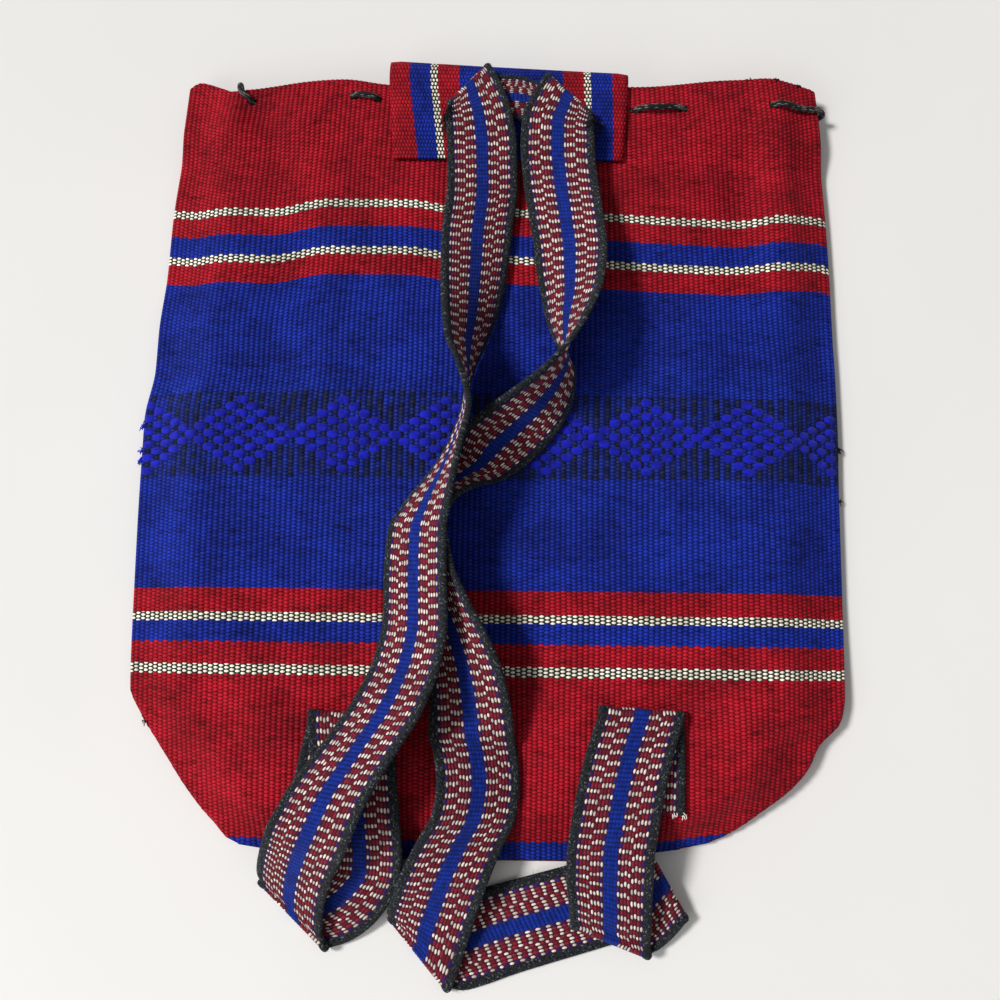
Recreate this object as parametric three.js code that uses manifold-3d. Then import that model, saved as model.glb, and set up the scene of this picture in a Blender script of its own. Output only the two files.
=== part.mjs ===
// A woven drawstring backpack, lying on its front with the side that carries its two straps facing up.
// Millimetres. +X runs across the bag, +Y towards its mouth, +Z up from the surface it lies on.

import * as THREE from 'three';
import { mergeVertices } from 'three/addons/utils/BufferGeometryUtils.js';
import Module from 'manifold-3d';

const wasm = await Module();
wasm.setup();

// Driving dimensions

const BAG_WIDTH = 336;
const BAG_HEIGHT = 376;
const BAG_DEPTH = 19; // how high the lying bag stands in its middle
const CLOTH = 2.2; // thickness of the woven cloth
const EDGE_DEPTH = 6; // height of the folded side edges
const EDGE_REACH = 34; // how far in from a side edge the bag reaches its full depth
const BOTTOM_REACH = 26; // the same, from the bottom edge
const HEM_DROP = 13; // from the mouth down to the line of the drawstring
const FLAP_WIDTH = 119;
const FLAP_BACK_LENGTH = 43; // from the seam on the back up to the mouth
const FLAP_FRONT_LENGTH = 150; // from the mouth down the front
const FLAP_OFFSET = 6.5; // middle of the flap, right of the middle of the bag
const FLAP_BULGE = 10; // how far the flap stands beyond the mouth
const FLAP_GAP = 0.7; // between the bag and the flap that lies on it
const FLAP_TAPER = 0.05; // share by which the flap is narrower at its seam
const STRAP_WIDTH = 40;
const STRAP_THICKNESS = 2;
const STRAP_EDGE_THICKNESS = 2.8;
const STRAP_EDGE_WIDTH = 4.2;
const CORD_DIAMETER = 3;
const KNOT_RADIUS = 3;
const CLEARANCE = 0.35;

const HALF_WIDTH = BAG_WIDTH / 2;
const CORD_RADIUS = CORD_DIAMETER / 2;
const STRAP_PITCH = STRAP_EDGE_THICKNESS + CLEARANCE; // from one layer of the strap to the next

// Materials

const clothMaterial = new THREE.MeshStandardMaterial({ color: 0x2a2f8f, roughness: 0.9, metalness: 0 });
const flapMaterial = new THREE.MeshStandardMaterial({ color: 0xa8182c, roughness: 0.9, metalness: 0 });
const strapMaterial = new THREE.MeshStandardMaterial({ color: 0x8c3a4c, roughness: 0.9, metalness: 0 });
const cordMaterial = new THREE.MeshStandardMaterial({ color: 0x1c1d20, roughness: 0.85, metalness: 0 });

// Tables and smooth values between their rows

function table(columns, rows) {
  return rows.map((row) => Object.fromEntries(columns.map((name, i) => [name, row[i]])));
}

// A smooth curve through one column that never swings past its rows.
function smoothColumn(rows, at, column) {
  const x = rows.map((row) => row[at]);
  const y = rows.map((row) => row[column]);
  const slope = x.slice(1).map((value, i) => (y[i + 1] - y[i]) / (value - x[i]));
  const tangent = x.map((_, i) => {
    if (i === 0) return slope[0];
    if (i === x.length - 1) return slope[i - 1];
    if (slope[i - 1] * slope[i] <= 0) return 0;
    return (2 * slope[i - 1] * slope[i]) / (slope[i - 1] + slope[i]);
  });
  return (value) => {
    const at = THREE.MathUtils.clamp(value, x[0], x[x.length - 1]);
    let i = 0;
    while (i < x.length - 2 && at > x[i + 1]) i++;
    const step = x[i + 1] - x[i];
    const t = (at - x[i]) / step;
    const rise = y[i + 1] - y[i];
    const ease = t * t * (3 - 2 * t);
    return y[i] + ease * rise + step * t * (1 - t) * ((1 - t) * tangent[i] - t * tangent[i + 1]);
  };
}

function smoothStep(value) {
  const t = THREE.MathUtils.clamp(value, 0, 1);
  return t * t * (3 - 2 * t);
}

// Form of the bag

// up: share of the bag's height from its bottom edge. left, right: shares of half its width.
// deep: share of its depth. The boxed corners are the slanting rows below up = 0.2.
const OUTLINE = table(['up', 'left', 'right', 'deep'], [
  [0.0, 0.36, 0.3, 0.8],
  [0.011, 0.62, 0.44, 0.85],
  [0.02, 0.697, 0.58, 0.87],
  [0.04, 0.742, 0.68, 0.9],
  [0.06, 0.786, 0.745, 0.92],
  [0.09, 0.84, 0.833, 0.95],
  [0.115, 0.879, 0.882, 0.97],
  [0.14, 0.918, 0.91, 0.985],
  [0.17, 0.963, 0.975, 1.0],
  [0.203, 0.998, 0.992, 1.0],
  [0.325, 1.006, 1.0, 1.0],
  [0.46, 1.01, 1.003, 1.0],
  [0.54, 1.01, 1.007, 1.0],
  [0.61, 0.987, 1.006, 1.0],
  [0.66, 0.985, 1.003, 1.0],
  [0.74, 0.97, 1.001, 0.97],
  [0.813, 0.965, 0.997, 0.92],
  [0.935, 0.94, 0.982, 0.8],
  [1.0, 0.93, 0.97, 0.72],
]);
const leftShare = smoothColumn(OUTLINE, 'up', 'left');
const rightShare = smoothColumn(OUTLINE, 'up', 'right');
const depthShare = smoothColumn(OUTLINE, 'up', 'deep');

// The mouth's edge waves a little: side is a share of half the width, rise a share of the height.
const MOUTH_WAVE = table(['side', 'rise'], [
  [-1.0, -0.004],
  [-0.96, 0.004],
  [-0.9, -0.006],
  [-0.84, -0.017],
  [-0.73, -0.012],
  [-0.48, 0.001],
  [-0.33, -0.006],
  [0.42, -0.005],
  [0.78, 0.009],
  [0.92, 0.0105],
  [0.97, 0.0075],
  [1.0, 0.003],
]);
const mouthWave = smoothColumn(MOUTH_WAVE, 'side', 'rise');
const WAVE_SPAN = 0.1; // the wave fades over this share of the height

// Soft folds and dents of the upper side. x: share of half the width, y and length: shares of the height,
// width: share of half the width, turn: degrees from the bag's height, rise: share of the bag's depth.
const FOLDS = table(['x', 'y', 'length', 'width', 'turn', 'rise'], [
  [0.86, 0.874, 0.16, 0.07, -4, 0.2],
  [0.74, 0.853, 0.14, 0.08, 4, -0.16],
  [-0.8, 0.945, 0.05, 0.05, 20, 0.16],
  [-0.68, 0.945, 0.05, 0.05, -25, -0.14],
  [-0.56, 0.914, 0.07, 0.07, -8, 0.12],
  [-0.72, 0.671, 0.16, 0.14, 6, 0.1],
  [0.62, 0.559, 0.22, 0.18, -6, 0.09],
  [-0.62, 0.163, 0.12, 0.12, -28, 0.16],
  [-0.78, 0.203, 0.1, 0.08, -34, -0.12],
  [0.66, 0.142, 0.12, 0.12, 30, 0.14],
  [0.0, 0.203, 0.06, 0.5, 88, -0.12],
]);
const CORNER_LIFT = 0.3; // the lower right corner stands off the surface by this share of the depth

function foldsAt(x, y) {
  let sum = 0;
  for (const fold of FOLDS) {
    const turn = THREE.MathUtils.degToRad(fold.turn);
    const dx = x - fold.x * HALF_WIDTH;
    const dy = y - fold.y * BAG_HEIGHT;
    const along = (dy * Math.cos(turn) + dx * Math.sin(turn)) / (fold.length * BAG_HEIGHT);
    const across = (dx * Math.cos(turn) - dy * Math.sin(turn)) / (fold.width * HALF_WIDTH);
    sum += fold.rise * BAG_DEPTH * Math.exp(-along * along - across * across);
  }
  return sum;
}

function halfWidthAt(x, y) {
  const share = x < 0 ? leftShare : rightShare;
  return share(y / BAG_HEIGHT) * HALF_WIDTH;
}

// What lifts the whole cloth: the flap that passes under it, the cord in its hem, and the raised corner.
function liftAt(x, y) {
  const flapRoom = CLOTH + 2 * CLEARANCE;
  const flapSide = (Math.abs(x - FLAP_OFFSET) - FLAP_WIDTH * 0.7) / (FLAP_WIDTH * 0.25);
  const flapEnd = (BAG_HEIGHT - FLAP_FRONT_LENGTH - y) / (FLAP_FRONT_LENGTH * 0.3) - 0.2;
  const overFlap = flapRoom * (1 - smoothStep(flapSide)) * (1 - smoothStep(flapEnd));
  const hemRoom = CORD_DIAMETER + 6 * CLEARANCE;
  const overCord = hemRoom * smoothStep((y - BAG_HEIGHT + 3.4 * HEM_DROP) / (1.7 * HEM_DROP));
  const towardsRight = smoothStep((x / HALF_WIDTH - 0.55) / 0.4);
  const towardsBottom = smoothStep((0.34 - y / BAG_HEIGHT) / 0.3);
  const corner = CORNER_LIFT * BAG_DEPTH * towardsRight * towardsBottom;
  return Math.max(overFlap, overCord) + corner;
}

// Heights of the cloth's outer faces above the surface that the bag lies on.
function bagFaces(x, y) {
  const fromSide = Math.max(halfWidthAt(x, y) - Math.abs(x), 0);
  const fromBottom = Math.max(y, 0);
  const radius = EDGE_DEPTH / 2;
  const roundOff = (distance) => Math.sqrt(1 - (1 - Math.min(distance / radius, 1)) ** 2);
  const round = roundOff(fromSide) * roundOff(fromBottom);
  const swell = smoothStep(fromSide / EDGE_REACH) * smoothStep(fromBottom / BOTTOM_REACH);
  const full = depthShare(y / BAG_HEIGHT) * BAG_DEPTH - EDGE_DEPTH;
  const lift = liftAt(x, y);
  return {
    under: lift + radius * (1 - round),
    top: lift + radius * (1 + round) + (full + foldsAt(x, y)) * swell,
  };
}

// Shares of the half width at which the bag's cloth is shaped, closer together at the side edges.
const HALF_COLUMNS = [0, 0.16, 0.32, 0.47, 0.6, 0.71, 0.8, 0.87, 0.93, 0.98, 1];
const COLUMNS = [...HALF_COLUMNS.slice(1).reverse().map((share) => -share), ...HALF_COLUMNS];
const ROWS = [
  0, 0.005, 0.018, 0.045, 0.08, 0.12, 0.16, 0.2, 0.25, 0.31, 0.38, 0.46, 0.54, 0.61, 0.67, 0.73, 0.79, 0.84, 0.88,
  0.91, 0.935, 0.955, 0.98, 1,
];

// One face of the closed cloth tube as rows of rings, each ring running over the top and back underneath.
// inset is how far the face lies inside the outer one.
function bagRings(inset) {
  const last = COLUMNS.length - 1;
  return ROWS.map((share, row) => {
    const y = inset + (BAG_HEIGHT - inset) * share;
    const left = leftShare(y / BAG_HEIGHT) * HALF_WIDTH - inset;
    const right = rightShare(y / BAG_HEIGHT) * HALF_WIDTH - inset;
    const ring = [];
    const point = (column, upper) => {
      const side = COLUMNS[column];
      const x = side < 0 ? side * left : side * right;
      const faces = bagFaces(x, y);
      const middle = (faces.top + faces.under) / 2;
      const wall = inset > 0 ? CLOTH : 0;
      const half = row === 0 || column === 0 || column === last
        ? 0
        : Math.max((faces.top - faces.under) / 2 - wall, CLEARANCE);
      const wave = mouthWave(side) * BAG_HEIGHT * smoothStep((share - 1 + WAVE_SPAN) / WAVE_SPAN);
      ring.push(new THREE.Vector3(x, y + wave, middle + (upper ? half : -half)));
    };
    for (let column = 0; column <= last; column++) point(column, true);
    for (let column = last - 1; column > 0; column--) point(column, false);
    return ring;
  });
}

// Collects triangles into a closed mesh.
function meshBuilder() {
  const positions = [];
  const triangle = (a, b, c) => {
    for (const corner of [a, b, c]) positions.push(corner.x, corner.y, corner.z);
  };
  const quad = (a, b, c, d) => {
    triangle(a, b, c);
    triangle(a, c, d);
  };
  const geometry = () => {
    const made = new THREE.BufferGeometry();
    made.setAttribute('position', new THREE.Float32BufferAttribute(positions, 3));
    return mergeVertices(made, 1e-4);
  };
  return { triangle, quad, geometry };
}

function bagShell() {
  const seamGap = 2 * CLEARANCE;
  const outer = bagRings(0);
  const inner = bagRings(CLOTH + seamGap);
  const builder = meshBuilder();
  const count = outer[0].length;
  for (let row = 0; row < ROWS.length - 1; row++) {
    for (let i = 0; i < count; i++) {
      const next = (i + 1) % count;
      builder.quad(outer[row][i], outer[row][next], outer[row + 1][next], outer[row + 1][i]);
      builder.quad(inner[row][next], inner[row][i], inner[row + 1][i], inner[row + 1][next]);
    }
  }
  const outerRim = outer[ROWS.length - 1];
  const innerRim = inner[ROWS.length - 1];
  for (let i = 0; i < count; i++) {
    const next = (i + 1) % count;
    builder.quad(outerRim[i], outerRim[next], innerRim[next], innerRim[i]);
  }
  return builder.geometry();
}

// Solids of the manifold library, for the cuts and joins

function solidFrom(geometry) {
  const bare = geometry.clone();
  bare.deleteAttribute('normal');
  bare.deleteAttribute('uv');
  const merged = mergeVertices(bare, 1e-4);
  const triVerts = new Uint32Array(merged.index.array);
  return new wasm.Manifold(
    new wasm.Mesh({ numProp: 3, vertProperties: merged.attributes.position.array, triVerts }),
  );
}

function geometryFrom(solid) {
  const mesh = solid.getMesh();
  const made = new THREE.BufferGeometry();
  made.setAttribute('position', new THREE.Float32BufferAttribute(mesh.vertProperties, 3));
  made.setIndex(new THREE.Uint32BufferAttribute(mesh.triVerts, 1));
  return made;
}

// Drawstring

// The cord's route, from one end in the knot to the other. x: share of half the width, below: how far under
// the mouth as a share of the hem's drop, place: where it lies in the two layers of cloth.
const DRAWSTRING_ROUTE = table(['x', 'below', 'place'], [
  [-0.61, 2, 'inside'],
  [-0.7, 1.5, 'inside'],
  [-0.748, 0.8, 'inside'],
  [-0.76, 0.1, 'inside'],
  [-0.76, -0.16, 'over rim'],
  [-0.755, 0.14, 'on back'],
  [-0.746, 0.34, 'on back'],
  [-0.735, 0.48, 'on back'],
  [-0.7, 0.68, 'behind back'],
  [-0.6, 0.65, 'behind back'],
  [-0.45, 0.65, 'behind back'],
  [-0.405, 0.62, 'on back'],
  [-0.362, 0.62, 'on back'],
  [-0.322, 0.65, 'behind back'],
  [-0.1, 0.7, 'behind back'],
  [0.15, 1.0, 'behind back'],
  [0.385, 1.0, 'behind back'],
  [0.43, 1.0, 'on back'],
  [0.54, 1.04, 'on back'],
  [0.585, 1.06, 'behind back'],
  [0.79, 1.15, 'behind back'],
  [0.84, 1.15, 'on back'],
  [0.92, 1.1, 'on back'],
  [0.97, 0.95, 'on back'],
  [1.0, 0.85, 'round side'],
  [0.97, 1.0, 'on front'],
  [0.9, 1.2, 'on front'],
  [0.82, 1.25, 'on front'],
  [0.77, 1.25, 'behind front'],
  [0.4, 1, 'behind front'],
  [0.0, 1, 'behind front'],
  [-0.38, 1, 'behind front'],
  [-0.43, 1, 'on front'],
  [-0.53, 1, 'on front'],
  [-0.58, 1, 'behind front'],
  [-0.66, 1.25, 'behind front'],
  [-0.68, 1.8, 'inside'],
  [-0.61, 2, 'inside'],
]);

function cordPoint(row) {
  const standOff = CORD_RADIUS + CLEARANCE;
  const up = BAG_HEIGHT - row.below * HEM_DROP;
  const reach = row.x < 0 ? leftShare(up / BAG_HEIGHT) : rightShare(up / BAG_HEIGHT);
  let x = row.x * HALF_WIDTH;
  let y = up + mouthWave(row.x) * BAG_HEIGHT;
  const faces = bagFaces(x, Math.min(up, BAG_HEIGHT));
  const middle = (faces.top + faces.under) / 2;
  const heights = {
    'inside': middle,
    'over rim': faces.top - CLOTH / 2,
    'on back': faces.top + standOff,
    'behind back': faces.top - CLOTH - standOff,
    'round side': middle,
    'on front': faces.under - standOff,
    'behind front': faces.under + CLOTH + standOff,
  };
  if (row.place === 'over rim') y = BAG_HEIGHT * (1 + mouthWave(row.x)) + standOff + CLEARANCE;
  if (row.place === 'round side') x = reach * HALF_WIDTH + standOff + CLEARANCE;
  return new THREE.Vector3(x, y, heights[row.place]);
}

const CORD_SIDES = 8;
const CORD_STEP = 9.5;
const KNOT_STEPS = 24;

function cordTube(radius) {
  const path = new THREE.CatmullRomCurve3(DRAWSTRING_ROUTE.map(cordPoint), false, 'centripetal');
  const section = new THREE.Shape();
  for (let i = 0; i < CORD_SIDES; i++) {
    const angle = (i / CORD_SIDES) * 2 * Math.PI;
    const method = i === 0 ? 'moveTo' : 'lineTo';
    section[method](radius * Math.cos(angle), radius * Math.sin(angle));
  }
  section.closePath();
  const steps = Math.ceil(path.getLength() / CORD_STEP);
  return new THREE.ExtrudeGeometry(section, { steps, bevelEnabled: false, extrudePath: path });
}

function drawstring() {
  const knot = new THREE.TorusKnotGeometry(KNOT_RADIUS, CORD_RADIUS * 0.9, KNOT_STEPS, CORD_SIDES, 2, 3);
  const middle = cordPoint(DRAWSTRING_ROUTE[0]);
  knot.translate(middle.x, middle.y, middle.z);
  return geometryFrom(solidFrom(cordTube(CORD_RADIUS)).add(solidFrom(knot)));
}

function bagBody() {
  const cordRoom = solidFrom(cordTube(CORD_RADIUS + CLEARANCE));
  return geometryFrom(solidFrom(bagShell()).subtract(cordRoom));
}

// A sheet of cloth around a grid of middle points, as a closed solid

function sheetSolid(grid, thickness) {
  const rows = grid.length;
  const columns = grid[0].length;
  const faces = [1, -1].map((side) => grid.map((line, i) => line.map((middle, j) => {
    const along = grid[Math.min(i + 1, rows - 1)][j].clone().sub(grid[Math.max(i - 1, 0)][j]);
    const across = line[Math.min(j + 1, columns - 1)].clone().sub(line[Math.max(j - 1, 0)]);
    const normal = across.cross(along).normalize();
    return middle.clone().addScaledVector(normal, (side * thickness) / 2);
  })));
  const [upper, lower] = faces;
  const builder = meshBuilder();
  for (let i = 0; i < rows - 1; i++) {
    for (let j = 0; j < columns - 1; j++) {
      builder.quad(upper[i][j], upper[i][j + 1], upper[i + 1][j + 1], upper[i + 1][j]);
      builder.quad(lower[i][j + 1], lower[i][j], lower[i + 1][j], lower[i + 1][j + 1]);
    }
    builder.quad(lower[i][0], upper[i][0], upper[i + 1][0], lower[i + 1][0]);
    const last = columns - 1;
    builder.quad(upper[i][last], lower[i][last], lower[i + 1][last], upper[i + 1][last]);
  }
  for (let j = 0; j < columns - 1; j++) {
    builder.quad(lower[0][j], lower[0][j + 1], upper[0][j + 1], upper[0][j]);
    const last = rows - 1;
    builder.quad(upper[last][j], upper[last][j + 1], lower[last][j + 1], lower[last][j]);
  }
  return builder.geometry();
}

// Flap

const FLAP_COLUMNS = 10;
const FLAP_BACK_ROWS = 9;
const FLAP_TURN_ROWS = 8;
const FLAP_FRONT_ROWS = 6;
const FLAP_SKEW = 0.35; // share of the bulge by which the fold leans from left to right

function flapX(side, taper = 0) {
  return FLAP_OFFSET + ((side * FLAP_WIDTH) / 2) * (1 - taper);
}

function flapBulge(side) {
  return FLAP_BULGE * (1 - FLAP_SKEW * side);
}

function flap() {
  const standOff = CLOTH / 2 + FLAP_GAP;
  const sides = Array.from({ length: FLAP_COLUMNS + 1 }, (_, j) => (2 * j) / FLAP_COLUMNS - 1);
  const mouthAt = (side) => BAG_HEIGHT * (1 + mouthWave(flapX(side) / HALF_WIDTH)) + standOff;
  const backZ = (x, y) => bagFaces(x, Math.min(y, BAG_HEIGHT)).top + standOff;
  const grid = [];
  for (let i = 0; i < FLAP_BACK_ROWS; i++) {
    const share = i / FLAP_BACK_ROWS;
    grid.push(sides.map((side) => {
      const x = flapX(side, FLAP_TAPER * (1 - share));
      const start = BAG_HEIGHT - FLAP_BACK_LENGTH;
      const y = start + (mouthAt(side) - start) * share;
      return new THREE.Vector3(x, y, backZ(x, y));
    }));
  }
  for (let i = 0; i <= FLAP_TURN_ROWS; i++) {
    const angle = (Math.PI * i) / FLAP_TURN_ROWS;
    grid.push(sides.map((side) => {
      const high = backZ(flapX(side), BAG_HEIGHT);
      const low = CLOTH / 2;
      const y = mouthAt(side) + flapBulge(side) * Math.sin(angle);
      const z = (high + low) / 2 + ((high - low) / 2) * Math.cos(angle);
      return new THREE.Vector3(flapX(side), y, z);
    }));
  }
  for (let i = 1; i <= FLAP_FRONT_ROWS; i++) {
    grid.push(sides.map((side) => {
      const y = mouthAt(side) - (FLAP_FRONT_LENGTH * i) / FLAP_FRONT_ROWS;
      return new THREE.Vector3(flapX(side), y, CLOTH / 2);
    }));
  }
  return sheetSolid(grid, CLOTH);
}

// Shoulder strap

// One band, followed from the end sewn low on the left, up over its fold, down to the surface, up the left
// strap to the folded middle at the top, down the right strap, along the surface and up to the end sewn low
// on the right. x: share of half the bag's width, y: share of its height from the bottom edge. wide, long
// and rise: the line across the band, from its inner to its outer edge, as shares of the strap's width.
// layers: how many layers of strap lie under it; at a half, the band folds over a line from one layer to the
// next. lift: extra height, as a share of the bag's depth.
const STRAP_ROUTE = table(['x', 'y', 'wide', 'long', 'rise', 'layers', 'lift'], [
  [-0.408, 0.061, 0.97, -0.1, 0, 0, 0],
  [-0.381, 0.124, 0.97, -0.06, 0, 0, 0],
  [-0.364, 0.161, 0.97, -0.08, 0, 0, 0],
  [-0.361, 0.173, 0.97, -0.09, 0, 0.5, 0],
  [-0.361, 0.161, 0.97, -0.08, 0, 1, 0.02],
  [-0.351, 0.118, 0.95, -0.03, 0, 1, 0.03],
  [-0.338, 0.056, 0.95, 0, 0, 1, 0.08],
  [-0.331, 0.012, 0.95, -0.04, 0, 1, 0.3],
  [-0.334, -0.008, 0.94, -0.11, -0.05, 0, 0.6],
  [-0.364, -0.03, 0.95, -0.3, -0.15, 0, 0.3],
  [-0.42, -0.051, 0.92, -0.53, -0.12, 0, 0.14],
  [-0.476, -0.061, 0.86, -0.68, -0.06, 0, 0.04],
  [-0.516, -0.065, 0.8, -0.76, -0.04, 0.5, 0.06],
  [-0.521, -0.049, 0.75, -0.72, -0.06, 1, 0.14],
  [-0.509, -0.018, 0.73, -0.58, -0.1, 1, 0.42],
  [-0.483, 0.013, 0.8, -0.38, 0, 1, 0.6],
  [-0.451, 0.043, 0.9, -0.22, 0.2, 1, 0.5],
  [-0.403, 0.087, 0.9, -0.1, 0.38, 2, 0.22],
  [-0.325, 0.141, 0.86, -0.05, 0.5, 2, 0.05],
  [-0.257, 0.188, 0.82, -0.06, 0.57, 2, 0.04],
  [-0.213, 0.239, 0.78, -0.06, 0.62, 0, 0],
  [-0.195, 0.286, 0.76, -0.05, 0.65, 0, 0],
  [-0.198, 0.344, 0.74, -0.05, 0.67, 0, 0],
  [-0.195, 0.392, 0.7, -0.1, 0.7, 0, 0],
  [-0.168, 0.426, 0.56, -0.1, 0.82, 0, 0],
  [-0.132, 0.459, 0.36, -0.1, 0.92, 0, 0],
  [-0.092, 0.501, 0.16, -0.17, 0.97, 0, 0],
  [-0.066, 0.547, 0.08, -0.2, 0.97, 0, 0],
  [-0.068, 0.591, -0.15, -0.2, 0.96, 0, 0],
  [-0.068, 0.617, -0.38, -0.2, 0.9, 0, 0],
  [-0.059, 0.657, -0.6, -0.2, 0.76, 0, 0],
  [-0.052, 0.712, -0.75, -0.16, 0.52, 0, 0.02],
  [-0.046, 0.775, -0.83, -0.14, 0.32, 0, 0.06],
  [-0.034, 0.836, -0.85, -0.1, 0.18, 0, 0.12],
  [-0.037, 0.897, -0.85, -0.03, 0.03, 0, 0.2],
  [-0.047, 0.934, -0.8, -0.14, 0.03, 1, 0.05],
  [-0.065, 0.965, -0.66, -0.4, 0, 1, 0],
  [-0.081, 0.983, -0.5, -0.54, 0, 0.5, 0],
  [-0.052, 0.97, -0.42, -0.56, 0, 0, 0],
  [0.068, 0.967, 0, -0.6, 0, 0, 0],
  [0.188, 0.959, 0.48, -0.56, 0, 0, 0],
  [0.217, 0.97, 0.57, -0.54, 0, 0.5, 0],
  [0.2, 0.953, 0.74, -0.38, 0, 1, 0],
  [0.182, 0.927, 0.87, -0.16, 0.02, 1, 0.08],
  [0.181, 0.895, 0.9, -0.03, 0.05, 0, 0.26],
  [0.19, 0.85, 0.9, -0.09, 0.16, 0, 0.14],
  [0.205, 0.793, 0.87, -0.09, 0.3, 0, 0.16],
  [0.216, 0.745, 0.82, -0.1, 0.44, 0, 0.1],
  [0.216, 0.697, 0.68, -0.1, 0.66, 0, 0.06],
  [0.206, 0.654, 0.42, -0.15, 0.87, 0, 0],
  [0.202, 0.621, 0.1, -0.15, 0.97, 0, 0],
  [0.2, 0.6, -0.21, -0.12, 0.96, 0, 0],
  [0.177, 0.575, -0.45, -0.04, 0.88, 0, 0],
  [0.127, 0.546, -0.68, 0.12, 0.7, 0, 0],
  [0.067, 0.521, -0.78, 0.25, 0.52, 0, 0],
  [0.01, 0.499, -0.74, 0.36, 0.38, 0, 0],
  [-0.03, 0.48, -0.55, 0.36, 0.12, 0, 0],
  [-0.086, 0.46, -0.38, 0.22, -0.25, 0, 0],
  [-0.138, 0.437, -0.38, 0.14, -0.48, 0, 0],
  [-0.168, 0.402, -0.44, 0.1, -0.6, 0, 0],
  [-0.16, 0.356, -0.54, 0.05, -0.62, 0, 0],
  [-0.124, 0.31, -0.62, 0.03, -0.6, 0, 0],
  [-0.084, 0.263, -0.76, 0, -0.56, 0, 0],
  [-0.056, 0.217, -0.86, -0.02, -0.42, 0, 0],
  [-0.044, 0.177, -0.93, -0.02, -0.12, 0, 0.22],
  [-0.039, 0.151, -0.95, -0.02, 0.12, 0, 0.3],
  [-0.033, 0.141, -0.93, 0.01, 0.24, 0, 0.04],
  [-0.02, 0.097, -0.92, 0.02, 0.3, 0, 0],
  [-0.029, 0.063, -0.93, 0.03, 0.26, 0, 0.04],
  [-0.069, 0.025, -0.98, 0.02, 0.15, 0, 0.3],
  [-0.106, -0.012, -0.99, 0.04, 0, 0, 0.8],
  [-0.136, -0.051, -0.94, 0.22, 0, 0, 0.5],
  [-0.16, -0.085, -0.86, 0.5, 0, 1, 0.12],
  [-0.177, -0.108, -0.7, 0.8, 0, 0.5, 0],
  [-0.145, -0.106, -0.68, 0.82, 0, 0, 0],
  [-0.08, -0.099, -0.54, 0.88, 0, 0, 0],
  [0.044, -0.081, -0.44, 0.9, 0, 0, 0],
  [0.279, -0.05, -0.45, 0.89, 0.08, 0, 0],
  [0.43, -0.028, -0.48, 0.89, 0.21, 0, 0],
  [0.482, -0.018, -0.52, 0.89, 0.21, 0.5, 0],
  [0.46, -0.027, -0.55, 0.86, 0.21, 1, 0.1],
  [0.41, -0.051, -0.72, 0.7, 0.2, 1, 0.02],
  [0.36, -0.073, -0.86, 0.5, 0.18, 1, 0],
  [0.333, -0.087, -0.92, 0.38, 0.17, 1.5, 0],
  [0.331, -0.073, -0.92, 0.36, 0.17, 2, 0.05],
  [0.329, -0.051, -0.93, 0.3, 0.12, 2, 0.36],
  [0.326, -0.022, -0.95, 0.18, 0.02, 1, 0.75],
  [0.326, 0.01, -0.96, 0.07, 0, 1, 0.62],
  [0.341, 0.061, -0.97, 0.02, 0, 1, 0.2],
  [0.371, 0.124, -0.97, 0.02, 0, 1, 0.12],
  [0.404, 0.169, -0.96, 0.05, 0, 1, 0.02],
  [0.412, 0.183, -0.96, 0.06, 0, 0.5, 0],
  [0.413, 0.17, -0.96, 0.04, 0, 0, 0],
  [0.413, 0.126, -0.97, -0.01, 0, 0, 0],
  [0.41, 0.063, -0.97, -0.01, 0, 0, 0],
]);

// Half outline of the band's section, from its inner to its outer edge: share of the width, and whether the
// section has the thickness of the rolled edge there or that of the band.
const EDGE_SHARE = STRAP_EDGE_WIDTH / STRAP_WIDTH;
const SECTION = table(['side', 'half'], [
  [-0.5 + 0.3 * EDGE_SHARE, STRAP_EDGE_THICKNESS / 2],
  [-0.5 + EDGE_SHARE, STRAP_THICKNESS / 2],
  [0, STRAP_THICKNESS / 2],
  [0.5 - EDGE_SHARE, STRAP_THICKNESS / 2],
  [0.5 - 0.3 * EDGE_SHARE, STRAP_EDGE_THICKNESS / 2],
]);

// Height of whatever the strap can rest on.
function supportAt(x, y) {
  const half = halfWidthAt(x, y);
  if (y < 0 || y > BAG_HEIGHT || Math.abs(x) > half) return 0;
  const onFlap = Math.abs(x - FLAP_OFFSET) < FLAP_WIDTH / 2 && y > BAG_HEIGHT - FLAP_BACK_LENGTH;
  return bagFaces(x, y).top + (onFlap ? CLOTH + FLAP_GAP : 0);
}

const REST_SAMPLES = 9;

// Height at which the middle of the band rests, with the line across it lying on what is under it.
function restHeight(centre, across) {
  let height = 0;
  for (let i = 0; i < REST_SAMPLES; i++) {
    const share = i / (REST_SAMPLES - 1) - 0.5;
    const support = supportAt(centre.x + share * across.x, centre.y + share * across.y);
    height = Math.max(height, support - share * across.z);
  }
  return height + CLEARANCE + STRAP_EDGE_THICKNESS / 2;
}

const STRAP_STEP = 10;
const STRAP_TURN = THREE.MathUtils.degToRad(40);
const FOLD_PARTS = 4;

// A fold: half a turn round a line through the row's middle, from the layer before it to the layer after.
function foldRows(row, before) {
  const radius = STRAP_PITCH / 2;
  const outward = new THREE.Vector2(-row.long, row.wide).normalize();
  if (outward.x * (row.x - before.x) + outward.y * (row.y - before.y) < 0) outward.negate();
  const upward = before.layers < row.layers ? 1 : -1;
  return Array.from({ length: FOLD_PARTS + 1 }, (_, i) => {
    const angle = Math.PI * (i / FOLD_PARTS - 0.5);
    const back = radius * (1 - Math.cos(angle));
    return {
      ...row,
      x: row.x - back * outward.x,
      y: row.y - back * outward.y,
      z: row.z + upward * radius * Math.sin(angle),
    };
  });
}

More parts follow.
